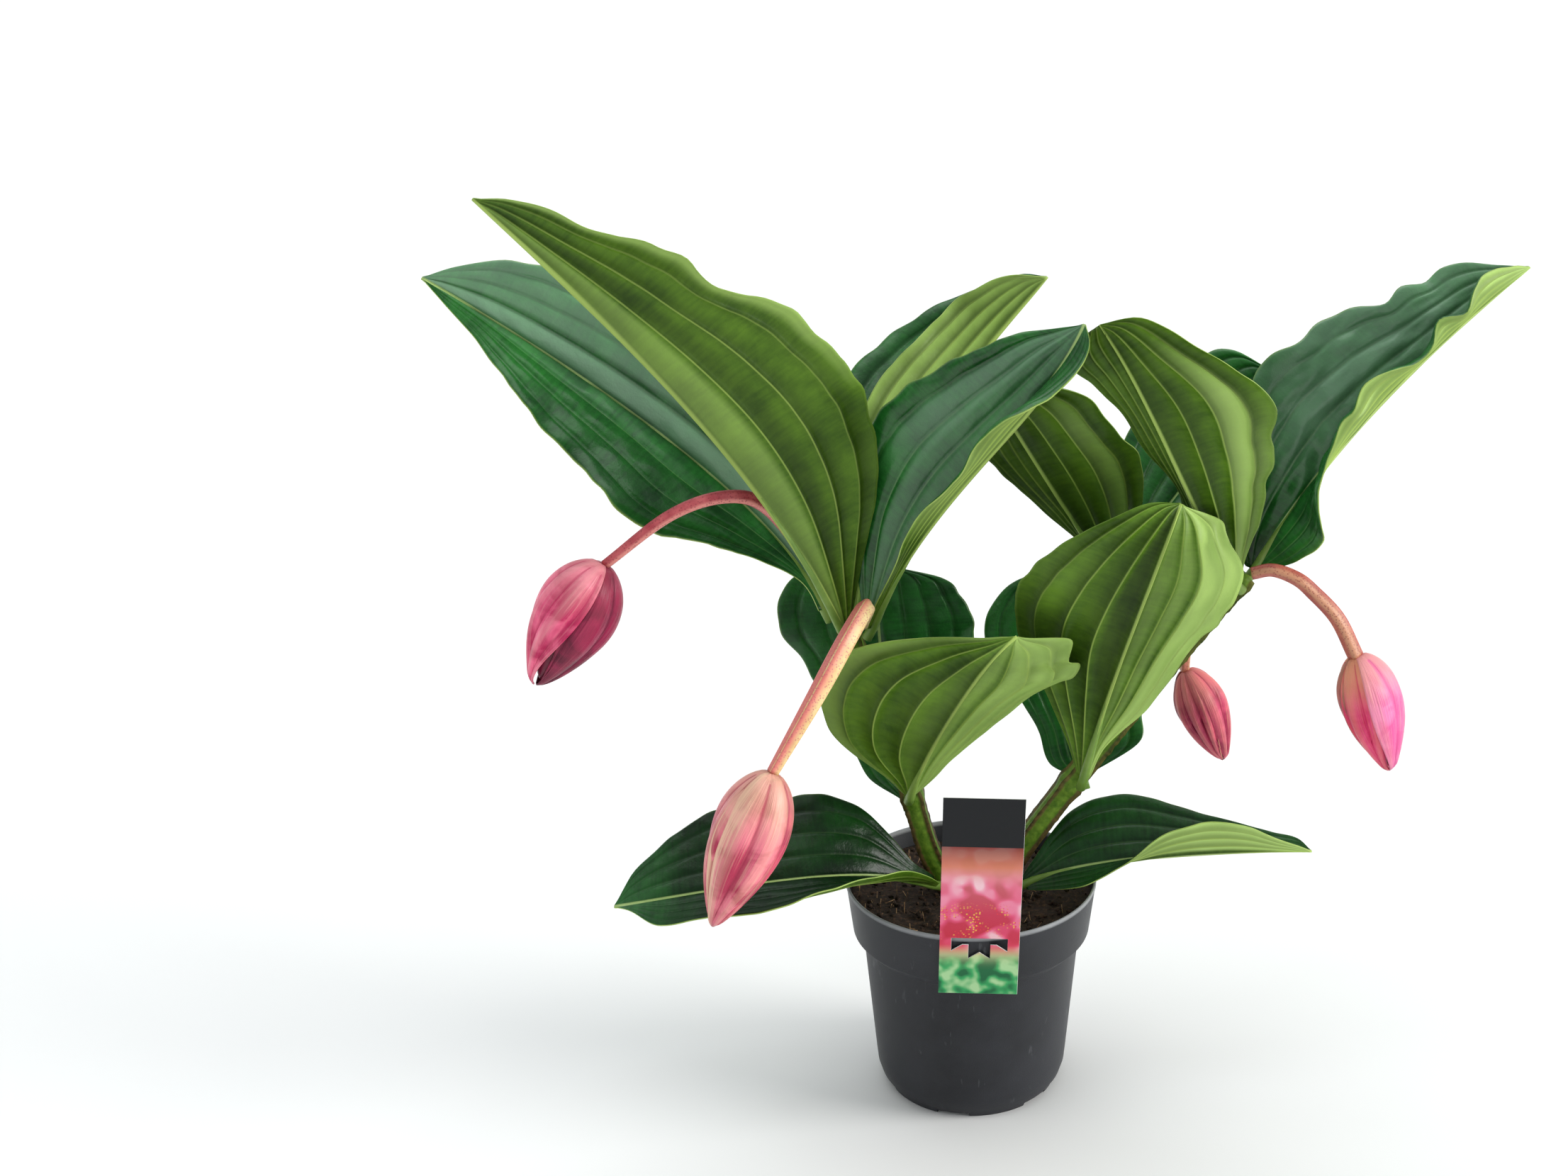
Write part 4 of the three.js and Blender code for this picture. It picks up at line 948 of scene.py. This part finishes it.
def add_bract(bm, frame_matrix, length, bud_radius, turn, bract):
    """One bract: a grid wrapped round the bud, open towards the tip, then thickened.

    A bract has a middle and a half width in degrees round the bud (0 faces the
    label's side, 90 is to its left), a layer and a tip lift in millimetres, a number
    of folds and a skin.
    """
    middle, half_width, layer, tip_lift, folds, material = bract
    centre, half_angle = math.radians(middle), math.radians(half_width)
    share = bm.loops.layers.uv["share"]
    crease = bm.verts.layers.float["crease"]
    before = set(bm.faces)
    made = bmesh.ops.create_grid(bm, x_segments=BRACT_ROWS, y_segments=BRACT_COLUMNS, size=1)["verts"]
    grid = {v: ((v.co.x + 1) / 2, v.co.y) for v in made}
    faces = [f for f in bm.faces if f not in before]
    for face in faces:
        face.material_index = material
        for loop in face.loops:
            loop[share].uv = grid[loop.vert]
    for vert, (t, s) in grid.items():
        fullness = bud_fullness(t)
        angle = centre + turn * t + s * half_angle * (1 - 0.45 * t**3)
        fold = abs(math.sin(math.pi * folds * (s + 0.18 * math.sin(3 * t + centre)) / 2))
        keel = FOLD_DEPTH * (fold - 0.7) * math.sin(math.pi * t) ** 0.6
        rolled_edge = 0.8 * abs(s) ** 8 * math.sin(math.pi * t)
        reach = bud_radius * fullness + layer * min(1, 6 * fullness) + keel + rolled_edge
        reach += tip_lift * t**7 + 0.4 * noise.noise(Vector((t * 4, s * 2, centre * 7)))
        at = Vector((reach * math.cos(angle), reach * math.sin(angle), t * length))
        vert.co = frame_matrix @ (at * MM)
        vert[crease] = fold if t > 0.03 else 1
    bmesh.ops.recalc_face_normals(bm, faces=faces)
    bmesh.ops.solidify(bm, geom=faces, thickness=BRACT_THICKNESS * MM)


def build_bud(name, bud, materials):
    """A core and three or four bracts round the bud's axis, each a layer above the last."""
    base = Vector(bud["stalk"][-1]) * MM
    tip = Vector(bud["tip"]) * MM
    length = (tip - base).length / MM
    turned = frames_along([base, tip], Vector((0, -1, 0)))[0]

    bm = bmesh.new()
    bm.loops.layers.uv.new("share")
    bm.verts.layers.float.new("crease")
    bmesh.ops.create_uvsphere(bm, u_segments=24, v_segments=24, radius=1)
    for vert in bm.verts:
        t = (vert.co.z + 1) / 2
        around = Vector((vert.co.x, vert.co.y, 0)).normalized() if abs(vert.co.z) < 0.999 else Vector()
        place = around * (bud["radius"] * CORE_SHARE * bud_fullness(t))
        place.z = (0.02 + 0.94 * t) * length
        vert.co = turned @ (place * MM)
    for face in bm.faces:
        face.material_index = len(materials) - 1
    for bract in bud["bracts"]:
        add_bract(bm, turned, length, bud["radius"] - BRACT_INSET, bud["turn"], bract)
    finish_piece(name + "_bracts", bm, materials, name)


print("a bract has", BRACT_ROWS, "rows and", BRACT_COLUMNS, "columns")

# %% [markdown]
# The four buds differ in age and light: magenta at the left, rose and cream in
# front, orchid pink at the right and a dull pink at the back. Each has its own
# skins, and its stalk is a swept ring with four soft edges.

# %% The four stalks and buds
STALK_STEPS, STALK_SIDES = 70, 32
EDGE_SHARE = 0.1
FLOWERS = {
    "left": {
        "stalk": [(-87, -3, 347), (-104, -8, 383), (-127, -22, 420), (-151, -33, 430),
                  (-184, -42, 421), (-225, -48, 391)],
        "radii": [4.3, 4.4, 3.2],
        "tip": (-271, -55, 315), "radius": 24.5, "turn": 0.35,
        "bracts": [(180, 80, 0, 0, 2, 1), (-66, 62, 0.5, 0.5, 2, 1), (44, 62, 2.0, 2.5, 3, 0)],
        # The deep skin, on the bracts at the back and right of this bud, is partly its own deeper magenta and
        # partly painted shade.
        "skins": [bract_skin("magenta bract", "#fa6e94", "#c41f5a", "#fbb6b4", 0.5, 0.4),
                  bract_skin("deep magenta bract in painted shade", "#97204a", "#640f30", "#b8485f", 0.3, 0.3)],
        "stalk_skin": stalk_skin("pinkish red stalk", "#ae3e48", "#d06468", "#e08f84", "#92323c"),
    },
    "front": {
        "stalk": [(-71, -20, 341), (-66, -38, 359), (-76, -62, 348), (-95, -85, 318),
                  (-121, -100, 275)],
        "radii": [5, 5.8, 3.6],
        "tip": (-160, -112, 177), "radius": 24, "turn": 0.3,
        "bracts": [(180, 80, 0, 0, 2, 1), (84, 60, 0.3, 0, 2, 0), (-80, 55, 0.6, 0.5, 2, 1),
                   (-4, 56, 1.7, 1.5, 2, 0)],
        "skins": [bract_skin("rose bract", "#f07c90", "#b52f52", "#f7cfae", 1.15, 0.5, 0.9),
                  bract_skin("deep rose bract", "#dc5c74", "#b0365a", "#f2c8a6", 0.35, 0.3)],
        "stalk_skin": stalk_skin("cream stalk with pink specks", "#e2bd80", "#ecd398", "#e0606c",
                                 "#c4566a", count=1, offset=0.9),
    },
    "right": {
        "stalk": [(178, -13, 373), (191, -15, 376), (206, -17, 371), (217, -18, 362),
                  (233, -20, 345), (246, -20, 320)],
        "radii": [3.8, 4.6, 4.8],
        "tip": (272, -24, 242), "radius": 19.5, "turn": 0.25,
        "bracts": [(180, 80, 0, 0, 2, 1), (86, 56, 0.2, 0, 3, 2), (22, 42, 0.9, 0.5, 2, 1),
                   (-52, 56, 1.8, 1, 1, 0)],
        "skins": [bract_skin("orchid pink bract", "#f484b8", "#e75a9c", "#f6b09c", -0.1, 0.6),
                  bract_skin("hot pink bract", "#ee4c80", "#d92862", "#f6a884", 0.2, 0.85),
                  bract_skin("brownish pink bract", "#cd6a66", "#a8475a", "#d9a480", 0.2, 0.5)],
        "stalk_skin": stalk_skin("salmon stalk", "#a94a3e", "#c86f58", "#d39a76", "#8e3434"),
    },
    "back": {
        "stalk": [(114, 34, 356), (130, 70, 356), (145, 93, 322), (151, 99, 285), (151, 100, 261)],
        "radii": [3.5, 3.5, 3.3],
        "tip": (181, 98, 194), "radius": 17.5, "turn": 0.3,
        "bracts": [(180, 80, 0, 0, 2, 1), (72, 56, 0.2, 0, 3, 1), (8, 46, 0.9, 0.5, 3, 0),
                   (-58, 54, 1.6, 1, 2, 0)],
        "skins": [bract_skin("dark pink bract", "#d94f72", "#a62850", "#eba28a", -0.6, 0.4),
                  bract_skin("shaded pink bract", "#953048", "#651c32", "#b86a58", -0.2, 0.5)],
        "stalk_skin": stalk_skin("salmon brown stalk", "#b2614f", "#c98067", "#d3a27d", "#96403f"),
    },
}

for side, flower in FLOWERS.items():
    bm = bmesh.new()
    bm.loops.layers.uv.new("share")
    sweep(bm, curve_through(flower["stalk"], STALK_STEPS), (0, -1, 0), STALK_SIDES,
          lambda t, angle: along(flower["radii"], t) * (1 + EDGE_SHARE * math.cos(4 * angle)))
    finish_piece(f"flower_stalk_{side}_skin", bm, [flower["stalk_skin"]],
                 f"flower_stalk_{side}")
    build_bud(f"flower_bud_{side}", flower, [*flower["skins"], BRACT_DEPTH])

# %% [markdown]
# ## Pot
#
# The pot is injection-moulded polypropylene. Its matte surface has a mould grain of under a millimetre, broad
# smears from handling and short pale scratches, and a pale grey band is painted along the top of its rim as a
# highlight.

# %% Pot finish
RIM_HIGHLIGHT_BAND = (0.1485, 0.1505)


def pot_plastic():
    """Matte grey polypropylene with fine mould grain, scuffs and a painted highlight along the rim."""
    material, shader = new_material("matte moulded polypropylene")
    place = add(material, "TexCoord").outputs["Object"]
    _, _, height = add(material, "SeparateXYZ", [place]).outputs
    grain = add(material, "TexNoise", {"Vector": place, "Scale": per(0.7143), "Detail": 2})
    smears = add(material, "TexNoise",
                 {"Vector": place, "Scale": per(71.43), "Detail": 7, "Roughness": 0.65})
    paint = add(material, "ValToRGB", [smears], {0.35: "#222327", 0.68: "#303136"})
    # A pale band painted along the top of the rim is a painted highlight, broken up by the smears.
    rim = add(material, "MapRange", [height, *RIM_HIGHLIGHT_BAND, 0, 1])
    rim_highlight = add(material, "Math", [rim, smears], operation="MULTIPLY")
    scratch_place = add(material, "Mapping", {"Vector": place, "Rotation": (0.3, 0.5, 0),
                                              "Scale": (per(5.882), per(16.67), per(22.22))})
    scratches = add(material, "TexNoise", {"Vector": scratch_place, "Scale": 1, "Detail": 3})
    scuffed = add(material, "MapRange", [scratches, 0.66, 0.78, 0, 0.25])
    for layer, over in ((rim_highlight, "#b4b6b9"), (scuffed, "#8d8f93")):
        paint = add(material, "Mix", [layer, paint, over], **PAINT)
    rough = add(material, "MapRange", [smears, 0.3, 0.7, 0.4, 0.55])
    bump = add(material, "Bump", {"Height": grain, "Distance": 0.00012})
    plug(shader, {"Base Color": paint, "Normal": bump, "Roughness": rough, "Specular IOR Level": 0.25})
    return material


POT_PLASTIC = pot_plastic()
print("pot finish:", POT_PLASTIC.name)

# %% [markdown]
# A moulded pot is round, so a profile is spun round the axis. Its sharp edges are
# bevelled, and one boolean cuts the foot ring's notches and the drain holes, because
# they pass through walls that the spin has already closed.

# %% The pot
POT_HEIGHT = 152
RIM_RADIUS = 85
POT_WALL = 1.8
COLLAR_FOOT, COLLAR_FOOT_RADIUS = 116, 80.4
WALL_TOP, WALL_TOP_RADIUS = 109, 73.4
WALL_FOOT_RADIUS = 65.9
FOOT_RADIUS = 58.5
SPIN_STEPS = 144
HOLES = 6
NOTCH_SIZE, FIRST_NOTCH = (12, 22, 6.2), 258
DRAIN_RADIUS, DRAIN_DEPTH, FIRST_DRAIN = 5, 12, 30
DRAIN_PLACE = (40, 0, 6)
POT_PROFILE = [
    (FOOT_RADIUS - 3, 0), (FOOT_RADIUS, 0), (FOOT_RADIUS + 1.5, 3.5), (62.7, 7.5), (65, 15),
    (WALL_FOOT_RADIUS, 24), (WALL_TOP_RADIUS, WALL_TOP), (COLLAR_FOOT_RADIUS, COLLAR_FOOT),
    (RIM_RADIUS - 0.6, POT_HEIGHT - 3.5), (RIM_RADIUS, POT_HEIGHT - 2.5),
    (RIM_RADIUS - 0.3, POT_HEIGHT), (RIM_RADIUS - POT_WALL, POT_HEIGHT),
    (COLLAR_FOOT_RADIUS - POT_WALL, COLLAR_FOOT), (WALL_TOP_RADIUS - POT_WALL, WALL_TOP),
    (63.5, 16), (59.6, 7), (0, 7), (0, 0), (9, 0), (9, 4.6), (FOOT_RADIUS - 3.5, 4.6),
]


def spun(profile):
    """A closed body made by spinning a profile of radius and height round Z."""
    bm = bmesh.new()
    verts = [bm.verts.new((r * MM, 0, z * MM)) for r, z in profile]
    edges = [bm.edges.new((a, b)) for a, b in zip(verts, verts[1:] + verts[:1])]
    bmesh.ops.spin(bm, geom=verts + edges, cent=(0, 0, 0), axis=(0, 0, 1), angle=math.tau,
                   steps=SPIN_STEPS, use_merge=True)
    bmesh.ops.remove_doubles(bm, verts=bm.verts, dist=1e-6)
    bmesh.ops.dissolve_degenerate(bm, edges=bm.edges, dist=1e-7)
    bmesh.ops.recalc_face_normals(bm, faces=bm.faces)
    return bm


def cut_away(bm, cutters):
    """Cuts closed shapes out of a closed body with a boolean, and returns the result."""
    body, tool = new_object("body to cut", bm), new_object("cutters", cutters)
    cut = body.modifiers.new("cut", "BOOLEAN")
    cut.operation = "DIFFERENCE"
    cut.object = tool
    result = bmesh.new()
    result.from_object(body, bpy.context.evaluated_depsgraph_get())
    for thing in (body, tool):
        bpy.data.objects.remove(thing)
    return result


pot = spun(POT_PROFILE)
# Only the sharp rings round the outside are bevelled, not the small foot in the middle.
sharp = [e for e in pot.edges if len(e.link_faces) == 2 and e.calc_face_angle() > math.radians(28)
         and e.verts[0].co.xy.length > 0.02 and abs(e.verts[0].co.z - e.verts[1].co.z) < 1e-6]
bmesh.ops.bevel(pot, geom=sharp, offset=0.6 * MM, segments=2, profile=0.5, affect="EDGES",
                material=-1)
cutters = bmesh.new()
for k in range(HOLES):
    notch_turn = Matrix.Rotation(math.radians(FIRST_NOTCH + 60 * k), 4, "Z")
    notch_size = Matrix.Diagonal((*[side * MM for side in NOTCH_SIZE], 1))
    notch_place = Matrix.Translation((FOOT_RADIUS * MM, 0, 0))
    bmesh.ops.create_cube(cutters, size=1, matrix=notch_turn @ notch_place @ notch_size)
    drain_turn = Matrix.Rotation(math.radians(FIRST_DRAIN + 60 * k), 4, "Z")
    bmesh.ops.create_cone(cutters, cap_ends=True, segments=24, radius1=DRAIN_RADIUS * MM,
                          radius2=DRAIN_RADIUS * MM, depth=DRAIN_DEPTH * MM,
                          matrix=drain_turn @ Matrix.Translation(Vector(DRAIN_PLACE) * MM))
pot_piece = finish_piece("pot_shell", cut_away(pot, cutters), [POT_PLASTIC], "pot")
pot_piece.data.set_sharp_from_angle(angle=math.radians(35))

# %% [markdown]
# ## Soil
#
# Potting soil is peat: dark brown fibres and crumbs with a few light bits. It is matte, and its colour
# follows the same noise as its bumps: this is partly the peat's own mix of dark and pale crumbs, and partly
# painted shade, since the hollows are dark.

# %% Soil finish
def peat():
    """Damp peat: dark brown, rough, flecked with paler fibre."""
    material, shader = new_material("damp fibrous peat")
    place = add(material, "TexCoord").outputs["Object"]
    crumbs = add(material, "TexNoise",
                 {"Vector": place, "Scale": per(3.125), "Detail": 8, "Roughness": 0.7})
    # Dark where the bumps are low: painted shade in the hollows, over the peat's own dark and pale crumbs.
    ground = add(material, "ValToRGB", [crumbs], {0.35: "#1b120c", 0.55: "#382619", 0.72: "#6b4c33"})
    bump = add(material, "Bump", {"Height": crumbs, "Distance": 0.0015})
    plug(shader, {"Base Color": ground, "Normal": bump, "Roughness": 0.92})
    return material


PEAT = peat()
PALE_FIBRE = plain_living("dry peat fibre", "#6f5136", "#a5835c", 3.333, 0.85)
print("soil finishes:", PEAT.name, "and", PALE_FIBRE.name)

# %% [markdown]
# The bed is a spun body whose top is pushed up and down by noise of three sizes.
# Crumbs are small stretched spheres and fibres are thin cones, strewn by chance from
# a fixed seed.

# %% The soil bed
SOIL_TOP = 138
SOIL_EDGE = 82.3
BED_RINGS, RING_STEP = 39, 2.1
LUMPS = ((2.2, 16), (1.3, 5), (0.8, 2))
STREWN, STREWN_RADIUS, CRUMB_SHARE = 620, 78, 0.7

soil_profile = [(0, 7.4), (59.1, 7.4), (62.9, 16), (71.2, 109), (77.8, 116.5), (SOIL_EDGE - 0.8, 136)]
soil_profile += [(SOIL_EDGE - 0.6 - RING_STEP * k, SOIL_TOP) for k in range(BED_RINGS)]
soil = spun(soil_profile + [(0, SOIL_TOP)])
for vert in soil.verts:
    if vert.co.z > (SOIL_TOP - 0.5) * MM:
        lumps = [height * noise.noise(vert.co / (width * MM)) for height, width in LUMPS]
        vert.co.z += sum(lumps) * MM

chance = random.Random(5)
for _ in range(STREWN):
    distance = STREWN_RADIUS * math.sqrt(chance.random())
    turn = chance.random() * math.tau
    place = Vector((distance * math.cos(turn), distance * math.sin(turn), SOIL_TOP + chance.uniform(-0.5, 2)))
    spot = Matrix.Translation(place * MM) @ Matrix.Rotation(chance.random() * 6, 4, chance.choice("XYZ"))
    if chance.random() < CRUMB_SHARE:
        size = chance.uniform(0.8, 2.6) * MM
        stretch = Matrix.Diagonal((size, size * chance.uniform(0.6, 1), size * chance.uniform(0.5, 0.9), 1))
        bmesh.ops.create_icosphere(soil, subdivisions=1, radius=1, matrix=spot @ stretch)
    else:
        spot = spot @ Matrix.Rotation(math.pi / 2 + chance.uniform(-0.3, 0.3), 4, "X")
        fibre = bmesh.ops.create_cone(soil, cap_ends=True, segments=5, radius1=0.35 * MM,
                                      radius2=0.15 * MM, depth=chance.uniform(5, 13) * MM, matrix=spot)
        for face in {f for v in fibre["verts"] for f in v.link_faces}:
            face.material_index = 1
finish_piece("soil_bed", soil, [PEAT, PALE_FIBRE], "soil")

# %% [markdown]
# ## Label
#
# The label is a printed plastic card with a slight gloss. The print is a plain one:
# a charcoal header over a gradient of warm colours with soft petal shapes, a belt of
# flecks and leafy patches, and no lettering. Its map is the card itself in
# millimetres, so a petal is a centimetre wide and a fleck two millimetres.

# %% Label finish
PRINT_HEIGHT, HEADER_FOOT = 150, 114
PETAL_WIDTH, FLECK_WIDTH, LEAFY_WIDTH = 10.53, 2, 12.5


def printed_card():
    """Card with a charcoal header over petals, flecks and leafy patches, all generic."""
    material, shader = new_material("printed plastic card")
    print_map = add(material, "UVMap", uv_map="print")
    _, up_card, _ = add(material, "SeparateXYZ", [print_map]).outputs
    height = add(material, "Math", [up_card, PRINT_HEIGHT], operation="DIVIDE")
    paint = add(material, "ValToRGB", [height], {
        0: "#1f6a3c", 0.13: "#47a05c", 0.2: "#c9cf9a", 0.26: "#e0475a", 0.42: "#ee6f92",
        0.56: "#f7b4bf", 0.66: "#d98468", 0.76: "#7c3a2c"})
    petals = add(material, "TexVoronoi", {"Vector": print_map, "Scale": 1 / PETAL_WIDTH},
                 voronoi_dimensions="2D", feature="SMOOTH_F1")
    petal_kind = add(material, "SeparateColor", [petals.outputs["Color"]])
    petal_shade = add(material, "ValToRGB", [petal_kind],
                      {0.2: "#bf1230", 0.42: "#e8517c", 0.6: "#f58fae", 0.8: "#fcd6df"})
    in_middle = add(material, "MapRange", [height, 0.2, 0.3, 0, 0.75], **SMOOTH)
    under_header = add(material, "MapRange", [height, 0.55, 0.66, 1, 0.1], **SMOOTH)
    on_petal = add(material, "Math", [in_middle, under_header], operation="MULTIPLY")
    foliage = add(material, "TexNoise", {"Vector": print_map, "Scale": 1 / LEAFY_WIDTH, "Detail": 1.5},
                  noise_dimensions="2D")
    foliage_shade = add(material, "ValToRGB", [foliage], {0.36: "#0f5c39", 0.5: "#3fae66", 0.66: "#b9e3a8"})
    low = add(material, "MapRange", [height, 0.14, 0.24, 0.85, 0], **SMOOTH)
    # Small flecks are clumped in a belt across the middle.
    flecks = add(material, "TexVoronoi", {"Vector": print_map, "Scale": 1 / FLECK_WIDTH},
                 voronoi_dimensions="2D")
    fleck_kind = add(material, "SeparateColor", [flecks.outputs["Color"]])
    fleck_shade = add(material, "ValToRGB", [fleck_kind], {0.3: "#e8374a", 0.7: "#f2c34e"})
    on_fleck = add(material, "MapRange", [flecks, 0.2, 0.34, 1, 0])
    clump = add(material, "MapRange", [foliage, 0.48, 0.56, 0, 1])
    belt = add(material, "ValToRGB", [height],
               {0.27: "#000000", 0.34: "#ffffff", 0.42: "#ffffff", 0.48: "#000000"})
    for limit in (clump, belt):
        on_fleck = add(material, "Math", [on_fleck, limit], operation="MULTIPLY")
    on_header = add(material, "Math", [up_card, HEADER_FOOT], operation="GREATER_THAN")
    for layer, over in ((on_petal, petal_shade), (on_fleck, fleck_shade), (low, foliage_shade),
                        (on_header, "#121418")):
        paint = add(material, "Mix", [layer, paint, over], **PAINT)
    plug(shader, {"Base Color": paint, "Roughness": 0.4, "Specular IOR Level": 0.25})
    return material


PRINTED_CARD = printed_card()
WHITE_CARD, white_shader = new_material("bare white card")
plug(white_shader, {"Base Color": "#dcdcd8", "Roughness": 0.5})
print("label finishes:", PRINTED_CARD.name, "and", WHITE_CARD.name)

# %% [markdown]
# A T-shaped cut leaves a tongue that hooks over the rim. The card is flat and its
# cut is exact in the solid, so its mesh is a copy of the solid's, with its loose
# triangles merged, its print map added, and its edges softened.

# %% The label
LABEL_LEAN = math.radians(7.5)
LABEL_TILT = math.radians(1.6)
LABEL_EDGE = 0.12
HOOK_PLACE = Vector((5.5, -85.9, 152.6))
CARD_BELOW_HOOK = 44
hung = Matrix.Translation(HOOK_PLACE * MM)
stood = Matrix.Rotation(math.pi / 2 + LABEL_LEAN, 4, "X") @ Matrix.Rotation(-LABEL_TILT, 4, "Z")
flat_to_place = hung @ stood @ Matrix.Translation((0, -CARD_BELOW_HOOK * MM, 0))
place_to_flat = flat_to_place.inverted()

card = bmesh.new()
card.from_mesh(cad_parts["label"].data)
bmesh.ops.remove_doubles(card, verts=card.verts, dist=1e-6)
bmesh.ops.dissolve_limit(card, angle_limit=math.radians(2), verts=card.verts, edges=card.edges)
print_layer = card.loops.layers.uv.new("print")
for face in card.faces:
    outward = place_to_flat.to_3x3() @ face.normal
    face.material_index = 0 if outward.z > 0.9 else 1
    for loop in face.loops:
        loop[print_layer].uv = (place_to_flat @ loop.vert.co / MM).xy
bmesh.ops.bevel(card, geom=[e for e in card.edges if e.calc_face_angle(0) > 1], offset=LABEL_EDGE * MM,
                segments=1, profile=0.5, affect="EDGES", material=-1)
bmesh.ops.triangulate(card, faces=card.faces)
finish_piece("label_card_printed", card, [PRINTED_CARD, WHITE_CARD], "label", smooth=False)

# %% [markdown]
# ## Floor
#
# A wide, plain, pale floor carries the pot's soft shadow.

# %% The floor
floor_bm = bmesh.new()
bmesh.ops.create_grid(floor_bm, x_segments=1, y_segments=1, size=30)
floor_paint, floor_shader = new_material("pale floor paint")
plug(floor_shader, {"Base Color": "#fbfbfa", "Roughness": 0.9})
floor = new_object("floor", floor_bm, floor_paint)
print("floor side:", floor.dimensions.x)
